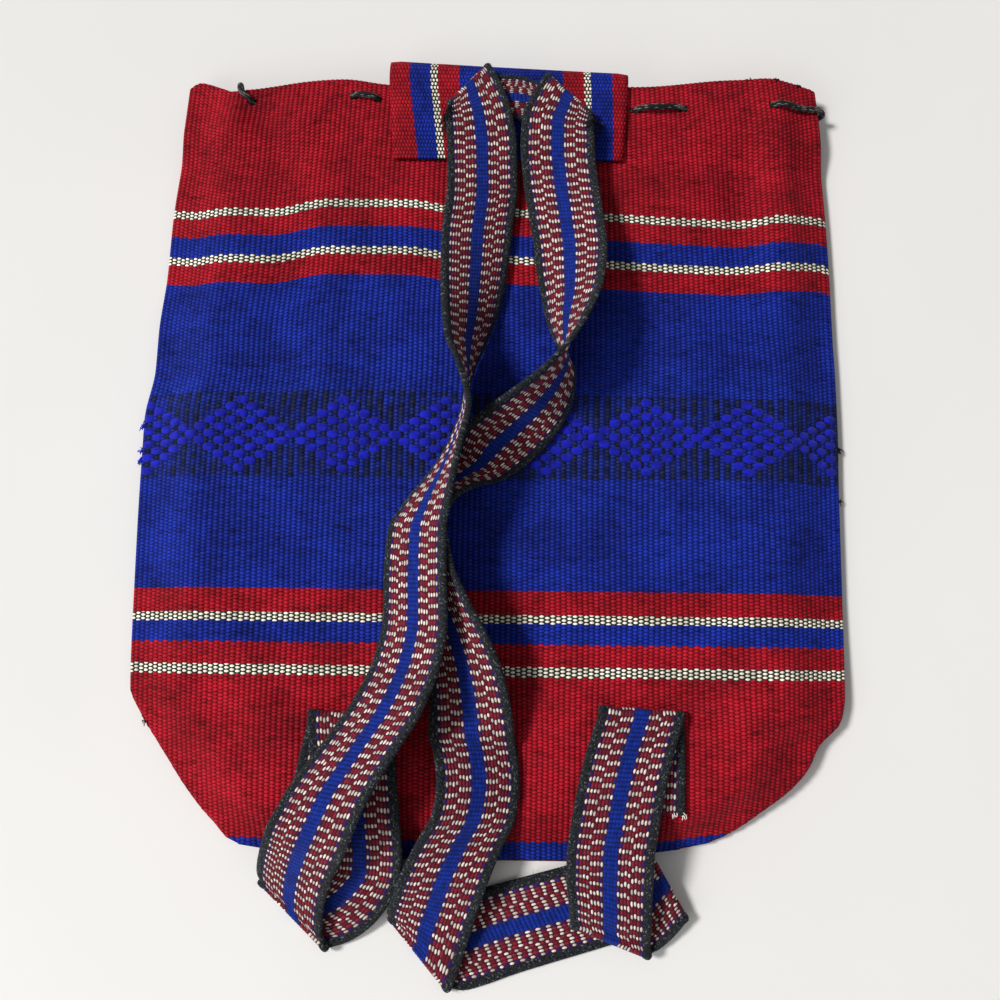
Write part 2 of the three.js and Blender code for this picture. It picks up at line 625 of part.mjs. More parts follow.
function strapStations() {
  const placed = STRAP_ROUTE.map((row) => {
    const centre = new THREE.Vector2(row.x * HALF_WIDTH, row.y * BAG_HEIGHT);
    const across = new THREE.Vector3(row.wide, row.long, row.rise).multiplyScalar(STRAP_WIDTH);
    const z = restHeight(centre, across) + row.layers * STRAP_PITCH + row.lift * BAG_DEPTH;
    return { x: centre.x, y: centre.y, z, wide: across.x, long: across.y, rise: across.z, layers: row.layers };
  });
  const rows = placed.flatMap((row, i) => (Number.isInteger(row.layers) ? [row] : foldRows(row, placed[i - 1])));
  let travelled = 0;
  rows.forEach((row, i) => {
    const before = rows[Math.max(i - 1, 0)];
    travelled += Math.hypot(row.x - before.x, row.y - before.y, row.z - before.z);
    row.at = travelled;
  });
  const names = ['x', 'y', 'z', 'wide', 'long', 'rise'];
  const value = Object.fromEntries(names.map((name) => [name, smoothColumn(rows, 'at', name)]));
  const direction = (i) => {
    const from = rows[Math.max(i - 1, 0)];
    const to = rows[Math.min(i + 1, rows.length - 1)];
    return new THREE.Vector3(to.x - from.x, to.y - from.y, to.z - from.z).normalize();
  };
  const stops = [0];
  for (let i = 0; i < rows.length - 1; i++) {
    const length = rows[i + 1].at - rows[i].at;
    const turn = direction(i).angleTo(direction(i + 1));
    const parts = Math.max(Math.round(length / STRAP_STEP), Math.round(turn / STRAP_TURN), 1);
    for (let part = 1; part <= parts; part++) stops.push(rows[i].at + (length * part) / parts);
  }
  return stops.map((at) => {
    const centre = new THREE.Vector3(value.x(at), value.y(at), value.z(at));
    const across = new THREE.Vector3(value.wide(at), value.long(at), value.rise(at));
    centre.z = Math.max(centre.z, restHeight(centre, across));
    return { centre, across };
  });
}

function strapRing(station, tangent) {
  const normal = tangent.clone().cross(station.across).normalize();
  const point = (side, height) => station.centre.clone()
    .addScaledVector(station.across, side)
    .addScaledVector(normal, height);
  return [
    point(-0.5, 0),
    ...SECTION.map((row) => point(row.side, row.half)),
    point(0.5, 0),
    ...SECTION.map((row) => point(row.side, -row.half)).reverse(),
  ];
}

// Closes the end of a band: each point over the band is joined to the one under it.
function strapCap(builder, ring, atStart) {
  const count = ring.length;
  const face = (...corners) => builder.triangle(...(atStart ? corners : corners.reverse()));
  for (let i = 0; i < count / 2; i++) {
    const over = ring[i];
    const overNext = ring[i + 1];
    const under = ring[(count - i) % count];
    const underNext = ring[count - i - 1];
    if (over !== under) face(over, overNext, under);
    if (overNext !== underNext) face(under, overNext, underNext);
  }
}

function shoulderStrap() {
  const stations = strapStations();
  const rings = stations.map((station, i) => {
    const from = stations[Math.max(i - 1, 0)].centre;
    const to = stations[Math.min(i + 1, stations.length - 1)].centre;
    return strapRing(station, to.clone().sub(from));
  });
  const builder = meshBuilder();
  const count = rings[0].length;
  for (let i = 0; i < rings.length - 1; i++) {
    for (let j = 0; j < count; j++) {
      const next = (j + 1) % count;
      builder.quad(rings[i][j], rings[i + 1][j], rings[i + 1][next], rings[i][next]);
    }
  }
  strapCap(builder, rings[0], true);
  strapCap(builder, rings[rings.length - 1], false);
  return builder.geometry();
}

// The assembly, stood on the surface and centred over its origin

function namedMesh(name, geometry, material) {
  geometry.computeVertexNormals();
  const mesh = new THREE.Mesh(geometry, material);
  mesh.name = name;
  return mesh;
}

const pieces = new THREE.Group();
pieces.add(namedMesh('bag_body', bagBody(), clothMaterial));
pieces.add(namedMesh('flap', flap(), flapMaterial));
pieces.add(namedMesh('shoulder_strap', shoulderStrap(), strapMaterial));
pieces.add(namedMesh('drawstring', drawstring(), cordMaterial));

const extent = new THREE.Box3().setFromObject(pieces);
pieces.position.set(-(extent.min.x + extent.max.x) / 2, -(extent.min.y + extent.max.y) / 2, -extent.min.z);

const backpack = new THREE.Group();
backpack.add(pieces);

export default backpack;
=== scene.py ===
# The look of a woven drawstring backpack, lying on its front with its two shoulder straps facing up.
# Lengths are millimetres in the bag's own frame: x from its middle, y from its bottom edge towards its
# mouth, z from the surface that it lies on. placed() turns a point into the model's frame, in metres.

import itertools
import math
import random

import bpy
from mathutils import Matrix, Vector, noise
from mathutils.bvhtree import BVHTree
from mathutils.kdtree import KDTree


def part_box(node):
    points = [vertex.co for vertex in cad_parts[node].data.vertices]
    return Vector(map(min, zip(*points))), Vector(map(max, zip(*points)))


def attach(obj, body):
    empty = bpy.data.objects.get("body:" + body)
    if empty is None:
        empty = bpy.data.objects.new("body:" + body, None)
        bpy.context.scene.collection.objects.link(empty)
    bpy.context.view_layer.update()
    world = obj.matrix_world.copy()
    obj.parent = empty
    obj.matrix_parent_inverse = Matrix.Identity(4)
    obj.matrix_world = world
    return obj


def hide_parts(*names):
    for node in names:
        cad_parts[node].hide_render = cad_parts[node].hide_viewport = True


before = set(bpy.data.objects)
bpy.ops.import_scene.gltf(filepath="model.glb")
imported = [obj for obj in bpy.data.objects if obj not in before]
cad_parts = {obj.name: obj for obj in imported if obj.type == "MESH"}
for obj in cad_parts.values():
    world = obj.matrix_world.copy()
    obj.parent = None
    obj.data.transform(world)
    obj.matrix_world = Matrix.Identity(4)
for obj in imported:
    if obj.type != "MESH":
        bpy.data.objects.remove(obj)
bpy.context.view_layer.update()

# Driving sizes. CLOTH is the cloth's thickness, EDGE_DEPTH the bag's depth at its edges, and EDGE_REACH and
# BOTTOM_REACH are how far in from its sides and bottom it is as deep as it gets.
BAG_WIDTH = 336.0
BAG_HEIGHT = 376.0
BAG_DEPTH = 19.0
CLOTH = 2.2
EDGE_DEPTH = 6.0
EDGE_REACH = 34.0
BOTTOM_REACH = 26.0
HEM_DROP = 13.0
FLAP_WIDTH = 119.0
FLAP_BACK_LENGTH = 43.0
FLAP_FRONT_LENGTH = 150.0
FLAP_OFFSET = 6.5
FLAP_BULGE = 10.0
FLAP_SKEW = 0.35
FLAP_GAP = 0.7
FLAP_TAPER = 0.05
STRAP_WIDTH = 40.0
STRAP_THICKNESS = 2.0
STRAP_EDGE_THICKNESS = 2.8
STRAP_EDGE_WIDTH = 4.2
CORD_DIAMETER = 3.0
CLEARANCE = 0.35

HALF_WIDTH = BAG_WIDTH / 2
CORD_RADIUS = CORD_DIAMETER / 2
STRAP_PITCH = STRAP_EDGE_THICKNESS + CLEARANCE
METRES = 0.001
SAME_PLACE = 1e-6

# The bag's weave: ribs that run up it, each a row of beads. BEAD is a bead's length, BEAD_DRIFT how
# unevenly the rows start, BEAD_HOLD how far a stripe's edge follows whole beads, and CLOTH_BUMP the height
# of the beads' relief, in metres.
RIBS = 132
RIB_PARTS = 4
RIB_RELIEF = 0.5
RIB_WANDER = 0.9
WANDER_ACROSS = 30.0
WANDER_ALONG = 45.0
BEAD = 1.65
BEAD_DRIFT = 0.16
BEAD_HOLD = 0.55
CLOTH_BUMP = 0.00045

# The bag's rows of points: a few close ones at the bottom edge, wide steps, and short steps in the hem
BOTTOM_ROWS = (0.0, 0.3, 0.9, 1.8)
ROW_START = 3.0
ROW_STEP = 3.1
HEM_START = 345.0
HEM_STEP = 1.55
INNER_ROWS = 28

# The lower corners slant inwards below CORNER_TOP, a share of the height. Towards the right one the stripes
# rise, over shares of half the width. The stripes of the front lie UNDER_SHIFT off those of the back.
CORNER_TOP = 0.203
CORNER_RISE = 6.0
CORNER_RISE_START = 0.4
CORNER_RISE_SPAN = 0.3
CORNER_RISE_TOP = 40.0
UNDER_SHIFT = 12.0

# The flap's ribs run across it, and its side edges are thinner than its middle.
FLAP_RIB_PITCH = 2.05
FLAP_ROW_STEP = FLAP_RIB_PITCH / RIB_PARTS
FLAP_TURN_LENGTH = 30.0
FLAP_COLUMNS = 48
FLAP_EDGE_COLUMNS = 2
FLAP_EDGE_SHARE = 0.45
FLAP_FIRST_RIB = 2

# The strap's columns of yarn, counted from its middle: plain blue, then two groups of white dashes, on
# purple next to the blue and in the outermost columns, and on red between them
STRAP_COLUMNS = 20
CENTRE_COLUMNS = 2
INNER_PURPLE = CENTRE_COLUMNS + 1
INNER_GROUP = CENTRE_COLUMNS + 4
OUTER_PURPLE = CENTRE_COLUMNS + 7
COLUMN_WIDTH = (STRAP_WIDTH - 2 * STRAP_EDGE_WIDTH) / STRAP_COLUMNS
COLUMN_RELIEF = 0.14
STRAP_STEP = 2.2
STRAP_PICK = 2.0
DASH_PERIOD = 4.9
DASH_DRIFT = 0.14
DASH_SHARE = 0.47
DASH_UNEVEN = 0.2
DASH_NARROW = 1.4
RIGHT_SHIFT = 0.3

# The strap's rolled edge: shares of its width from the rim inwards, and of its thickness
EDGE_ROLL = ((0.06, 0.55), (0.22, 0.9), (0.5, 1.0), (0.78, 0.88))

CORD_SIDES = 16
CORD_STEP = 0.8
BRAID_PITCH = 6.4
BRAID_STRANDS = 4
BRAID_RELIEF = 0.25
KNOT_RADIUS = 3.0
KNOT_PARTS = 96
KNOT_LOOPS = 2
KNOT_WAVES = 1.5
KNOT_CORD_SHARE = 0.9

# The brocade: a dark band with diamonds of raised floats, DIAMOND_REACH steps from middle to corner
BROCADE_MIDDLE = 194.5
BROCADE_HALF_BAND = 20.0
BROCADE_CENTRES = (-166.0, -118.0, -69.5, -21.0, 26.0, 73.0, 121.0, 169.0)
DIAMOND_REACH = 5
FLOAT_WIDTH = 4.9
FLOAT_HEIGHT = 3.25
FLOAT_OVERLAP = 0.6
FLOAT_ROUND_SIDES = 0.22
FLOAT_ROUND_ENDS = 0.24
FLOAT_SINK = 0.35
FLOAT_RISE = 1.0
FLOAT_PARTS = 6
FLOAT_FIRST_LEVEL = 20

# Colours


def shade(*screen):
    """Linear colour from the red, green and blue, 0 to 255, that a screen shows (the sRGB curve)."""
    lit = [value / 255 for value in screen]
    return tuple(part / 12.92 if part <= 0.04045 else ((part + 0.055) / 1.055) ** 2.4 for part in lit)


RED = shade(154, 8, 28)
DEEP_RED = shade(104, 10, 28)
BLUE = shade(10, 36, 138)
WHITE = shade(232, 226, 210)
# Painted shade in the gaps between white beads
WHITE_GAP_SHADE = shade(40, 44, 34)
DARK_RIB = shade(20, 26, 44)
BROCADE_BLUE = shade(22, 30, 186)
STRAP_RED = shade(138, 34, 52)
STRAP_PURPLE = shade(40, 38, 118)
STRAP_WHITE = shade(244, 236, 228)
# Painted shade between the strap's yarns
STRAP_GAP_SHADE = shade(74, 16, 30)
STRAP_BLUE = shade(12, 38, 126)
STRAP_BLACK = shade(18, 20, 24)
STRAP_GREY = shade(60, 66, 74)
STRAP_FLECK = shade(128, 134, 138)
CORD_BLACK = shade(24, 24, 27)
CORD_GREY = shade(130, 128, 124)
# Painted grey sheen on the beads' crowns
CROWN_SHEEN_GREY = shade(120, 110, 120)

# Stripes of the bag by height, and of the flap from its left edge

BAG_STRIPES = (
    (0.0, DEEP_RED), (0.8, BLUE), (9.3, RED), (82.7, WHITE), (87.4, RED),
    (97.5, BLUE), (107.0, WHITE), (111.1, RED), (122.0, BLUE), (268.8, RED),
    (279.3, WHITE), (283.4, BLUE), (293.8, RED), (303.7, WHITE), (307.9, RED),
)
FLAP_STRIPES = (
    (0.0, RED), (10.0, BLUE), (20.4, WHITE), (23.9, RED), (34.7, BLUE),
    (86.4, RED), (96.8, WHITE), (100.3, BLUE), (111.0, RED),
)
FLAP_STRIPE_LEAN = 3.0

# How far the stripes of the upper half rise, by share of half the bag's width. The rise starts at a height
# and is full a reach above it.
STRIPE_WAVE = (
    (-1.0, 4.6), (-0.93, 2.9), (-0.86, 0.6), (-0.66, -0.3), (-0.48, 4.1),
    (-0.25, 4.4), (-0.13, 1.6), (0.32, -1.8), (0.57, -4.0), (0.78, -1.3),
    (0.87, 0.4), (0.92, 2.6), (0.965, 3.5), (1.0, 2.0),
)
STRIPE_WAVE_START = 190.0
STRIPE_WAVE_REACH = 70.0

# Light and floor values

SUN_ENERGY = 2.9
SUN_ANGLE = 12.0
SUN_COLOUR = (1.0, 0.98, 0.96)
SUN_TRAVEL = (0.86, -0.14, -1.0)
SKY_COLOUR = (0.98, 0.99, 0.97)
SKY_STRENGTH = 0.3
LAMP_POINT = (-700.0, -520.0, 700.0)
LAMP_SIZE = 700.0
LAMP_POWER = 3.5
FLOOR_REACH = 1500.0
FLOOR_GAP = 0.1
FLOOR_MOTTLE = 6.0
FLOOR_PALE = shade(231, 230, 229)
FLOOR_DARK = shade(224, 223, 222)

# Tables and smooth values between their rows


def around(items, i):
    """The items before and after one. At an end it is its own neighbour."""
    return items[max(i - 1, 0)], items[min(i + 1, len(items) - 1)]


def smooth_column(rows, column, at=0):
    """A smooth curve through one column of a table that never swings past its rows."""
    x = [row[at] for row in rows]
    y = [row[column] for row in rows]
    slopes = [(y[i + 1] - y[i]) / (x[i + 1] - x[i]) for i in range(len(x) - 1)]
    tangents = [slopes[0]]
    for before, after in zip(slopes, slopes[1:]):
        tangents.append(2 * before * after / (before + after) if before * after > 0 else 0.0)
    tangents.append(slopes[-1])

    def value(place):
        place = min(max(place, x[0]), x[-1])
        i = 0
        while i < len(x) - 2 and place > x[i + 1]:
            i += 1
        step = x[i + 1] - x[i]
        t = (place - x[i]) / step
        ease = t * t * (3 - 2 * t)
        bend = step * t * (1 - t) * ((1 - t) * tangents[i] - t * tangents[i + 1])
        return y[i] + ease * (y[i + 1] - y[i]) + bend

    return value


def smooth_step(value):
    """0 at 0 and under it, 1 at 1 and over it, smooth between."""
    t = min(max(value, 0.0), 1.0)
    return t * t * (3 - 2 * t)


# Form of the bag. Each row: share of its height from the bottom edge, how far it reaches to the left and to
# the right as shares of half its width, and how deep it is as a share of its depth.
OUTLINE = (
    (0.0, 0.36, 0.3, 0.8), (0.011, 0.62, 0.44, 0.85),
    (0.02, 0.697, 0.58, 0.87), (0.04, 0.742, 0.68, 0.9),
    (0.06, 0.786, 0.745, 0.92), (0.09, 0.84, 0.833, 0.95),
    (0.115, 0.879, 0.882, 0.97), (0.14, 0.918, 0.91, 0.985),
    (0.17, 0.963, 0.975, 1.0), (0.203, 0.998, 0.992, 1.0),
    (0.325, 1.006, 1.0, 1.0), (0.46, 1.01, 1.003, 1.0),
    (0.54, 1.01, 1.007, 1.0), (0.61, 0.987, 1.006, 1.0),
    (0.66, 0.985, 1.003, 1.0), (0.74, 0.97, 1.001, 0.97),
    (0.813, 0.965, 0.997, 0.92), (0.935, 0.94, 0.982, 0.8),
    (1.0, 0.93, 0.97, 0.72),
)
left_share = smooth_column(OUTLINE, 1)
right_share = smooth_column(OUTLINE, 2)
depth_share = smooth_column(OUTLINE, 3)

# The mouth's edge waves a little: side is a share of half the width, rise a share of the height.
MOUTH_WAVE = (
    (-1.0, -0.004), (-0.96, 0.004), (-0.9, -0.006), (-0.84, -0.017),
    (-0.73, -0.012), (-0.48, 0.001), (-0.33, -0.006), (0.42, -0.005),
    (0.78, 0.009), (0.92, 0.0105), (0.97, 0.0075), (1.0, 0.003),
)
mouth_wave = smooth_column(MOUTH_WAVE, 1)
WAVE_SPAN = 0.1

# Soft folds and dents of the upper side. x: share of half the width, y and length: shares of the height,
# width: share of half the width, turn: degrees from the bag's height, rise: share of the bag's depth.
FOLDS = (
    (0.86, 0.874, 0.16, 0.07, -4, 0.2), (0.74, 0.853, 0.14, 0.08, 4, -0.16),
    (-0.8, 0.945, 0.05, 0.05, 20, 0.16), (-0.68, 0.945, 0.05, 0.05, -25, -0.14),
    (-0.56, 0.914, 0.07, 0.07, -8, 0.12), (-0.72, 0.671, 0.16, 0.14, 6, 0.1),
    (0.62, 0.559, 0.22, 0.18, -6, 0.09), (-0.62, 0.163, 0.12, 0.12, -28, 0.16),
    (-0.78, 0.203, 0.1, 0.08, -34, -0.12), (0.66, 0.142, 0.12, 0.12, 30, 0.14),
    (0.0, 0.203, 0.06, 0.5, 88, -0.12),
)

# The bag lies over the flap, and the cord thickens its hem. Room is made for both, and softly taken back
# past their ends. The lower right corner is raised. HEM_GAPS counts the clearances round the cord, and the
# rest are shares: of the flap's width and front length, of the hem's drop, and of the bag's own sizes.
FLAP_ROOM_START = 0.7
FLAP_ROOM_SIDE = 0.25
FLAP_ROOM_END = 0.3
FLAP_ROOM_PAST = 0.2
HEM_GAPS = 6
CORD_ROOM_START = 3.4
CORD_ROOM_SPAN = 1.7
CORNER_START = 0.55
CORNER_SPAN = 0.4
CORNER_HEIGHT = 0.34
CORNER_FALL = 0.3
CORNER_LIFT = 0.3


def folds_at(x, y):
    """Height that the folds and dents add."""
    total = 0.0
    for fold_x, fold_y, length, width, turn, rise in FOLDS:
        angle = math.radians(turn)
        dx = x - fold_x * HALF_WIDTH
        dy = y - fold_y * BAG_HEIGHT
        along = (dy * math.cos(angle) + dx * math.sin(angle)) / (length * BAG_HEIGHT)
        across = (dx * math.cos(angle) - dy * math.sin(angle)) / (width * HALF_WIDTH)
        total += rise * BAG_DEPTH * math.exp(-along * along - across * across)
    return total


def half_width_at(x, y):
    share = left_share if x < 0 else right_share
    return share(y / BAG_HEIGHT) * HALF_WIDTH


def lift_at(x, y):
    """What lifts the whole cloth: the flap that passes under it, the cord in its hem, the raised corner."""
    beside_flap = abs(x - FLAP_OFFSET) - FLAP_WIDTH * FLAP_ROOM_START
    flap_side = smooth_step(beside_flap / (FLAP_WIDTH * FLAP_ROOM_SIDE))
    past_flap = (BAG_HEIGHT - FLAP_FRONT_LENGTH - y) / (FLAP_FRONT_LENGTH * FLAP_ROOM_END)
    flap_end = smooth_step(past_flap - FLAP_ROOM_PAST)
    over_flap = (CLOTH + 2 * CLEARANCE) * (1 - flap_side) * (1 - flap_end)
    into_hem = (y - BAG_HEIGHT + CORD_ROOM_START * HEM_DROP) / (CORD_ROOM_SPAN * HEM_DROP)
    over_cord = (CORD_DIAMETER + HEM_GAPS * CLEARANCE) * smooth_step(into_hem)
    towards_right = smooth_step((x / HALF_WIDTH - CORNER_START) / CORNER_SPAN)
    towards_bottom = smooth_step((CORNER_HEIGHT - y / BAG_HEIGHT) / CORNER_FALL)
    return max(over_flap, over_cord) + CORNER_LIFT * BAG_DEPTH * towards_right * towards_bottom


def bag_faces(x, y):
    """Heights of the cloth's under and top faces above the surface that the bag lies on."""
    from_side = max(half_width_at(x, y) - abs(x), 0.0)
    from_bottom = max(y, 0.0)
    radius = EDGE_DEPTH / 2

    def round_off(distance):
        return math.sqrt(1 - (1 - min(distance / radius, 1.0)) ** 2)

    rounded = round_off(from_side) * round_off(from_bottom)
    swell = smooth_step(from_side / EDGE_REACH) * smooth_step(from_bottom / BOTTOM_REACH)
    full = depth_share(y / BAG_HEIGHT) * BAG_DEPTH - EDGE_DEPTH
    lift = lift_at(x, y)
    under = lift + radius * (1 - rounded)
    top = lift + radius * (1 + rounded) + (full + folds_at(x, y)) * swell
    return under, top


# Drawstring. The cord's route from one end in the knot to the other: where it lies in the two layers of
# cloth, and its points there, as a share of half the bag's width, and how far under the mouth the point
# is, as a share of the hem's drop.
DRAWSTRING_ROUTE = (
    ("inside", (-0.61, 2), (-0.7, 1.5), (-0.748, 0.8), (-0.76, 0.1)),
    ("over rim", (-0.76, -0.16)),
    ("on back", (-0.755, 0.14), (-0.746, 0.34), (-0.735, 0.48)),
    ("behind back", (-0.7, 0.68), (-0.6, 0.65), (-0.45, 0.65)),
    ("on back", (-0.405, 0.62), (-0.362, 0.62)),
    ("behind back", (-0.322, 0.65), (-0.1, 0.7), (0.15, 1.0), (0.385, 1.0)),
    ("on back", (0.43, 1.0), (0.54, 1.04)),
    ("behind back", (0.585, 1.06), (0.79, 1.15)),
    ("on back", (0.84, 1.15), (0.92, 1.1), (0.97, 0.95)),
    ("round side", (1.0, 0.85)),
    ("on front", (0.97, 1.0), (0.9, 1.2), (0.82, 1.25)),
    ("behind front", (0.77, 1.25), (0.4, 1), (0.0, 1), (-0.38, 1)),
    ("on front", (-0.43, 1), (-0.53, 1)),
    ("behind front", (-0.58, 1), (-0.66, 1.25)),
    ("inside", (-0.68, 1.8), (-0.61, 2)),
)


def cord_point(place, side, below):
    """A point of the cord's route."""
    stand_off = CORD_RADIUS + CLEARANCE
    up = BAG_HEIGHT - below * HEM_DROP
    x = side * HALF_WIDTH
    y = up + mouth_wave(side) * BAG_HEIGHT
    under, top = bag_faces(x, min(up, BAG_HEIGHT))
    middle = (top + under) / 2
    heights = {
        "inside": middle,
        "over rim": top - CLOTH / 2,
        "on back": top + stand_off,
        "behind back": top - CLOTH - stand_off,
        "round side": middle,
        "on front": under - stand_off,
        "behind front": under + CLOTH + stand_off,
    }
    if place == "over rim":
        y = BAG_HEIGHT * (1 + mouth_wave(side)) + stand_off + CLEARANCE
    if place == "round side":
        x = half_width_at(side, up) + stand_off + CLEARANCE
    return Vector((x, y, heights[place]))


def curve_through(points, step):
    """Evenly spaced points along a smooth curve through the given points (centripetal Catmull-Rom)."""
    ends = [points[0] * 2 - points[1], *points, points[-1] * 2 - points[-2]]
    fine = []
    for before, start, end, after in zip(ends, ends[1:], ends[2:], ends[3:]):
        pairs = ((before, start), (start, end), (end, after))
        back, here, on = (max((b - a).length, SAME_PLACE) ** 0.5 for a, b in pairs)
        slope = (end - start) / here
        leave = ((start - before) / back - (end - before) / (back + here) + slope) * here
        arrive = (slope - (after - start) / (here + on) + (after - end) / on) * here
        parts = max(round((end - start).length / step), 1)
        for part in range(parts):
            t = part / parts
            ease = t * t * (3 - 2 * t)
            bend = leave * (t * (1 - t) ** 2) - arrive * (t * t * (1 - t))
            fine.append(start * (1 - ease) + end * ease + bend)
    fine.append(points[-1].copy())
    return fine


# Shoulder strap. x and y are thousandths of half the bag's width and of its height from the bottom edge.
# wide, long and rise are the line across the band, from its inner to its outer edge, in hundredths of the
# strap's width. layers: how many layers of strap lie under it; at a half, the band folds over from one
# layer to the next. lift: extra height, in hundredths of the bag's depth.
ROUTE_UNITS = (1000, 1000, 100, 100, 100, 1, 100)
STRAP_ROUTE = (
    (-408, 61, 97, -10, 0, 0, 0), (-381, 124, 97, -6, 0, 0, 0), (-364, 161, 97, -8, 0, 0, 0),
    (-361, 173, 97, -9, 0, 0.5, 0), (-361, 161, 97, -8, 0, 1, 2), (-351, 118, 95, -3, 0, 1, 3),
    (-338, 56, 95, 0, 0, 1, 8), (-331, 12, 95, -4, 0, 1, 30), (-334, -8, 94, -11, -5, 0, 60),
    (-364, -30, 95, -30, -15, 0, 30), (-420, -51, 92, -53, -12, 0, 14), (-476, -61, 86, -68, -6, 0, 4),
    (-516, -65, 80, -76, -4, 0.5, 6), (-521, -49, 75, -72, -6, 1, 14), (-509, -18, 73, -58, -10, 1, 42),
    (-483, 13, 80, -38, 0, 1, 60), (-451, 43, 90, -22, 20, 1, 50), (-403, 87, 90, -10, 38, 2, 22),
    (-325, 141, 86, -5, 50, 2, 5), (-257, 188, 82, -6, 57, 2, 4), (-213, 239, 78, -6, 62, 0, 0),
    (-195, 286, 76, -5, 65, 0, 0), (-198, 344, 74, -5, 67, 0, 0), (-195, 392, 70, -10, 70, 0, 0),
    (-168, 426, 56, -10, 82, 0, 0), (-132, 459, 36, -10, 92, 0, 0), (-92, 501, 16, -17, 97, 0, 0),
    (-66, 547, 8, -20, 97, 0, 0), (-68, 591, -15, -20, 96, 0, 0), (-68, 617, -38, -20, 90, 0, 0),
    (-59, 657, -60, -20, 76, 0, 0), (-52, 712, -75, -16, 52, 0, 2), (-46, 775, -83, -14, 32, 0, 6),
    (-34, 836, -85, -10, 18, 0, 12), (-37, 897, -85, -3, 3, 0, 20), (-47, 934, -80, -14, 3, 1, 5),
    (-65, 965, -66, -40, 0, 1, 0), (-81, 983, -50, -54, 0, 0.5, 0), (-52, 970, -42, -56, 0, 0, 0),
    (68, 967, 0, -60, 0, 0, 0), (188, 959, 48, -56, 0, 0, 0), (217, 970, 57, -54, 0, 0.5, 0),
    (200, 953, 74, -38, 0, 1, 0), (182, 927, 87, -16, 2, 1, 8), (181, 895, 90, -3, 5, 0, 26),
    (190, 850, 90, -9, 16, 0, 14), (205, 793, 87, -9, 30, 0, 16), (216, 745, 82, -10, 44, 0, 10),
    (216, 697, 68, -10, 66, 0, 6), (206, 654, 42, -15, 87, 0, 0), (202, 621, 10, -15, 97, 0, 0),
    (200, 600, -21, -12, 96, 0, 0), (177, 575, -45, -4, 88, 0, 0), (127, 546, -68, 12, 70, 0, 0),
    (67, 521, -78, 25, 52, 0, 0), (10, 499, -74, 36, 38, 0, 0), (-30, 480, -55, 36, 12, 0, 0),
    (-86, 460, -38, 22, -25, 0, 0), (-138, 437, -38, 14, -48, 0, 0), (-168, 402, -44, 10, -60, 0, 0),
    (-160, 356, -54, 5, -62, 0, 0), (-124, 310, -62, 3, -60, 0, 0), (-84, 263, -76, 0, -56, 0, 0),
    (-56, 217, -86, -2, -42, 0, 0), (-44, 177, -93, -2, -12, 0, 22), (-39, 151, -95, -2, 12, 0, 30),
    (-33, 141, -93, 1, 24, 0, 4), (-20, 97, -92, 2, 30, 0, 0), (-29, 63, -93, 3, 26, 0, 4),
    (-69, 25, -98, 2, 15, 0, 30), (-106, -12, -99, 4, 0, 0, 80), (-136, -51, -94, 22, 0, 0, 50),
    (-160, -85, -86, 50, 0, 1, 12), (-177, -108, -70, 80, 0, 0.5, 0), (-145, -106, -68, 82, 0, 0, 0),
    (-80, -99, -54, 88, 0, 0, 0), (44, -81, -44, 90, 0, 0, 0), (279, -50, -45, 89, 8, 0, 0),
    (430, -28, -48, 89, 21, 0, 0), (482, -18, -52, 89, 21, 0.5, 0), (460, -27, -55, 86, 21, 1, 10),
    (410, -51, -72, 70, 20, 1, 2), (360, -73, -86, 50, 18, 1, 0), (333, -87, -92, 38, 17, 1.5, 0),
    (331, -73, -92, 36, 17, 2, 5), (329, -51, -93, 30, 12, 2, 36), (326, -22, -95, 18, 2, 1, 75),
    (326, 10, -96, 7, 0, 1, 62), (341, 61, -97, 2, 0, 1, 20), (371, 124, -97, 2, 0, 1, 12),
    (404, 169, -96, 5, 0, 1, 2), (412, 183, -96, 6, 0, 0.5, 0), (413, 170, -96, 4, 0, 0, 0),
    (413, 126, -97, -1, 0, 0, 0), (410, 63, -97, -1, 0, 0, 0),
)

STRAP_FOLD_PARTS = 12
REST_SAMPLES = 9


def support_at(x, y):
    """Height of whatever the strap can rest on."""
    if y < 0 or y > BAG_HEIGHT or abs(x) > half_width_at(x, y):
        return 0.0
    on_flap = abs(x - FLAP_OFFSET) < FLAP_WIDTH / 2 and y > BAG_HEIGHT - FLAP_BACK_LENGTH
    return bag_faces(x, y)[1] + (CLOTH + FLAP_GAP if on_flap else 0.0)


def rest_height(x, y, wide, long, rise):
    """Height at which the middle of the band rests, with the line across it lying on what is under it."""
    height = 0.0
    for i in range(REST_SAMPLES):
        share = i / (REST_SAMPLES - 1) - 0.5
        height = max(height, support_at(x + share * wide, y + share * long) - share * rise)
    return height + CLEARANCE + STRAP_EDGE_THICKNESS / 2


def fold_rows(row, before):
    """Half a turn round a line through the row's middle, from the layer before it to the layer after."""
    x, y, z, wide, long, rise, layers = row
    before_x, before_y, *_, layers_before = before
    radius = STRAP_PITCH / 2
    outward = Vector((-long, wide)).normalized()
    if outward.x * (x - before_x) + outward.y * (y - before_y) < 0:
        outward.negate()
    upward = 1 if layers_before < layers else -1
    rows = []
    for i in range(STRAP_FOLD_PARTS + 1):
        angle = math.pi * (i / STRAP_FOLD_PARTS - 0.5)
        back = radius * (1 - math.cos(angle))
        height = z + upward * radius * math.sin(angle)
        rows.append((x - back * outward.x, y - back * outward.y, height, wide, long, rise, layers))
    return rows


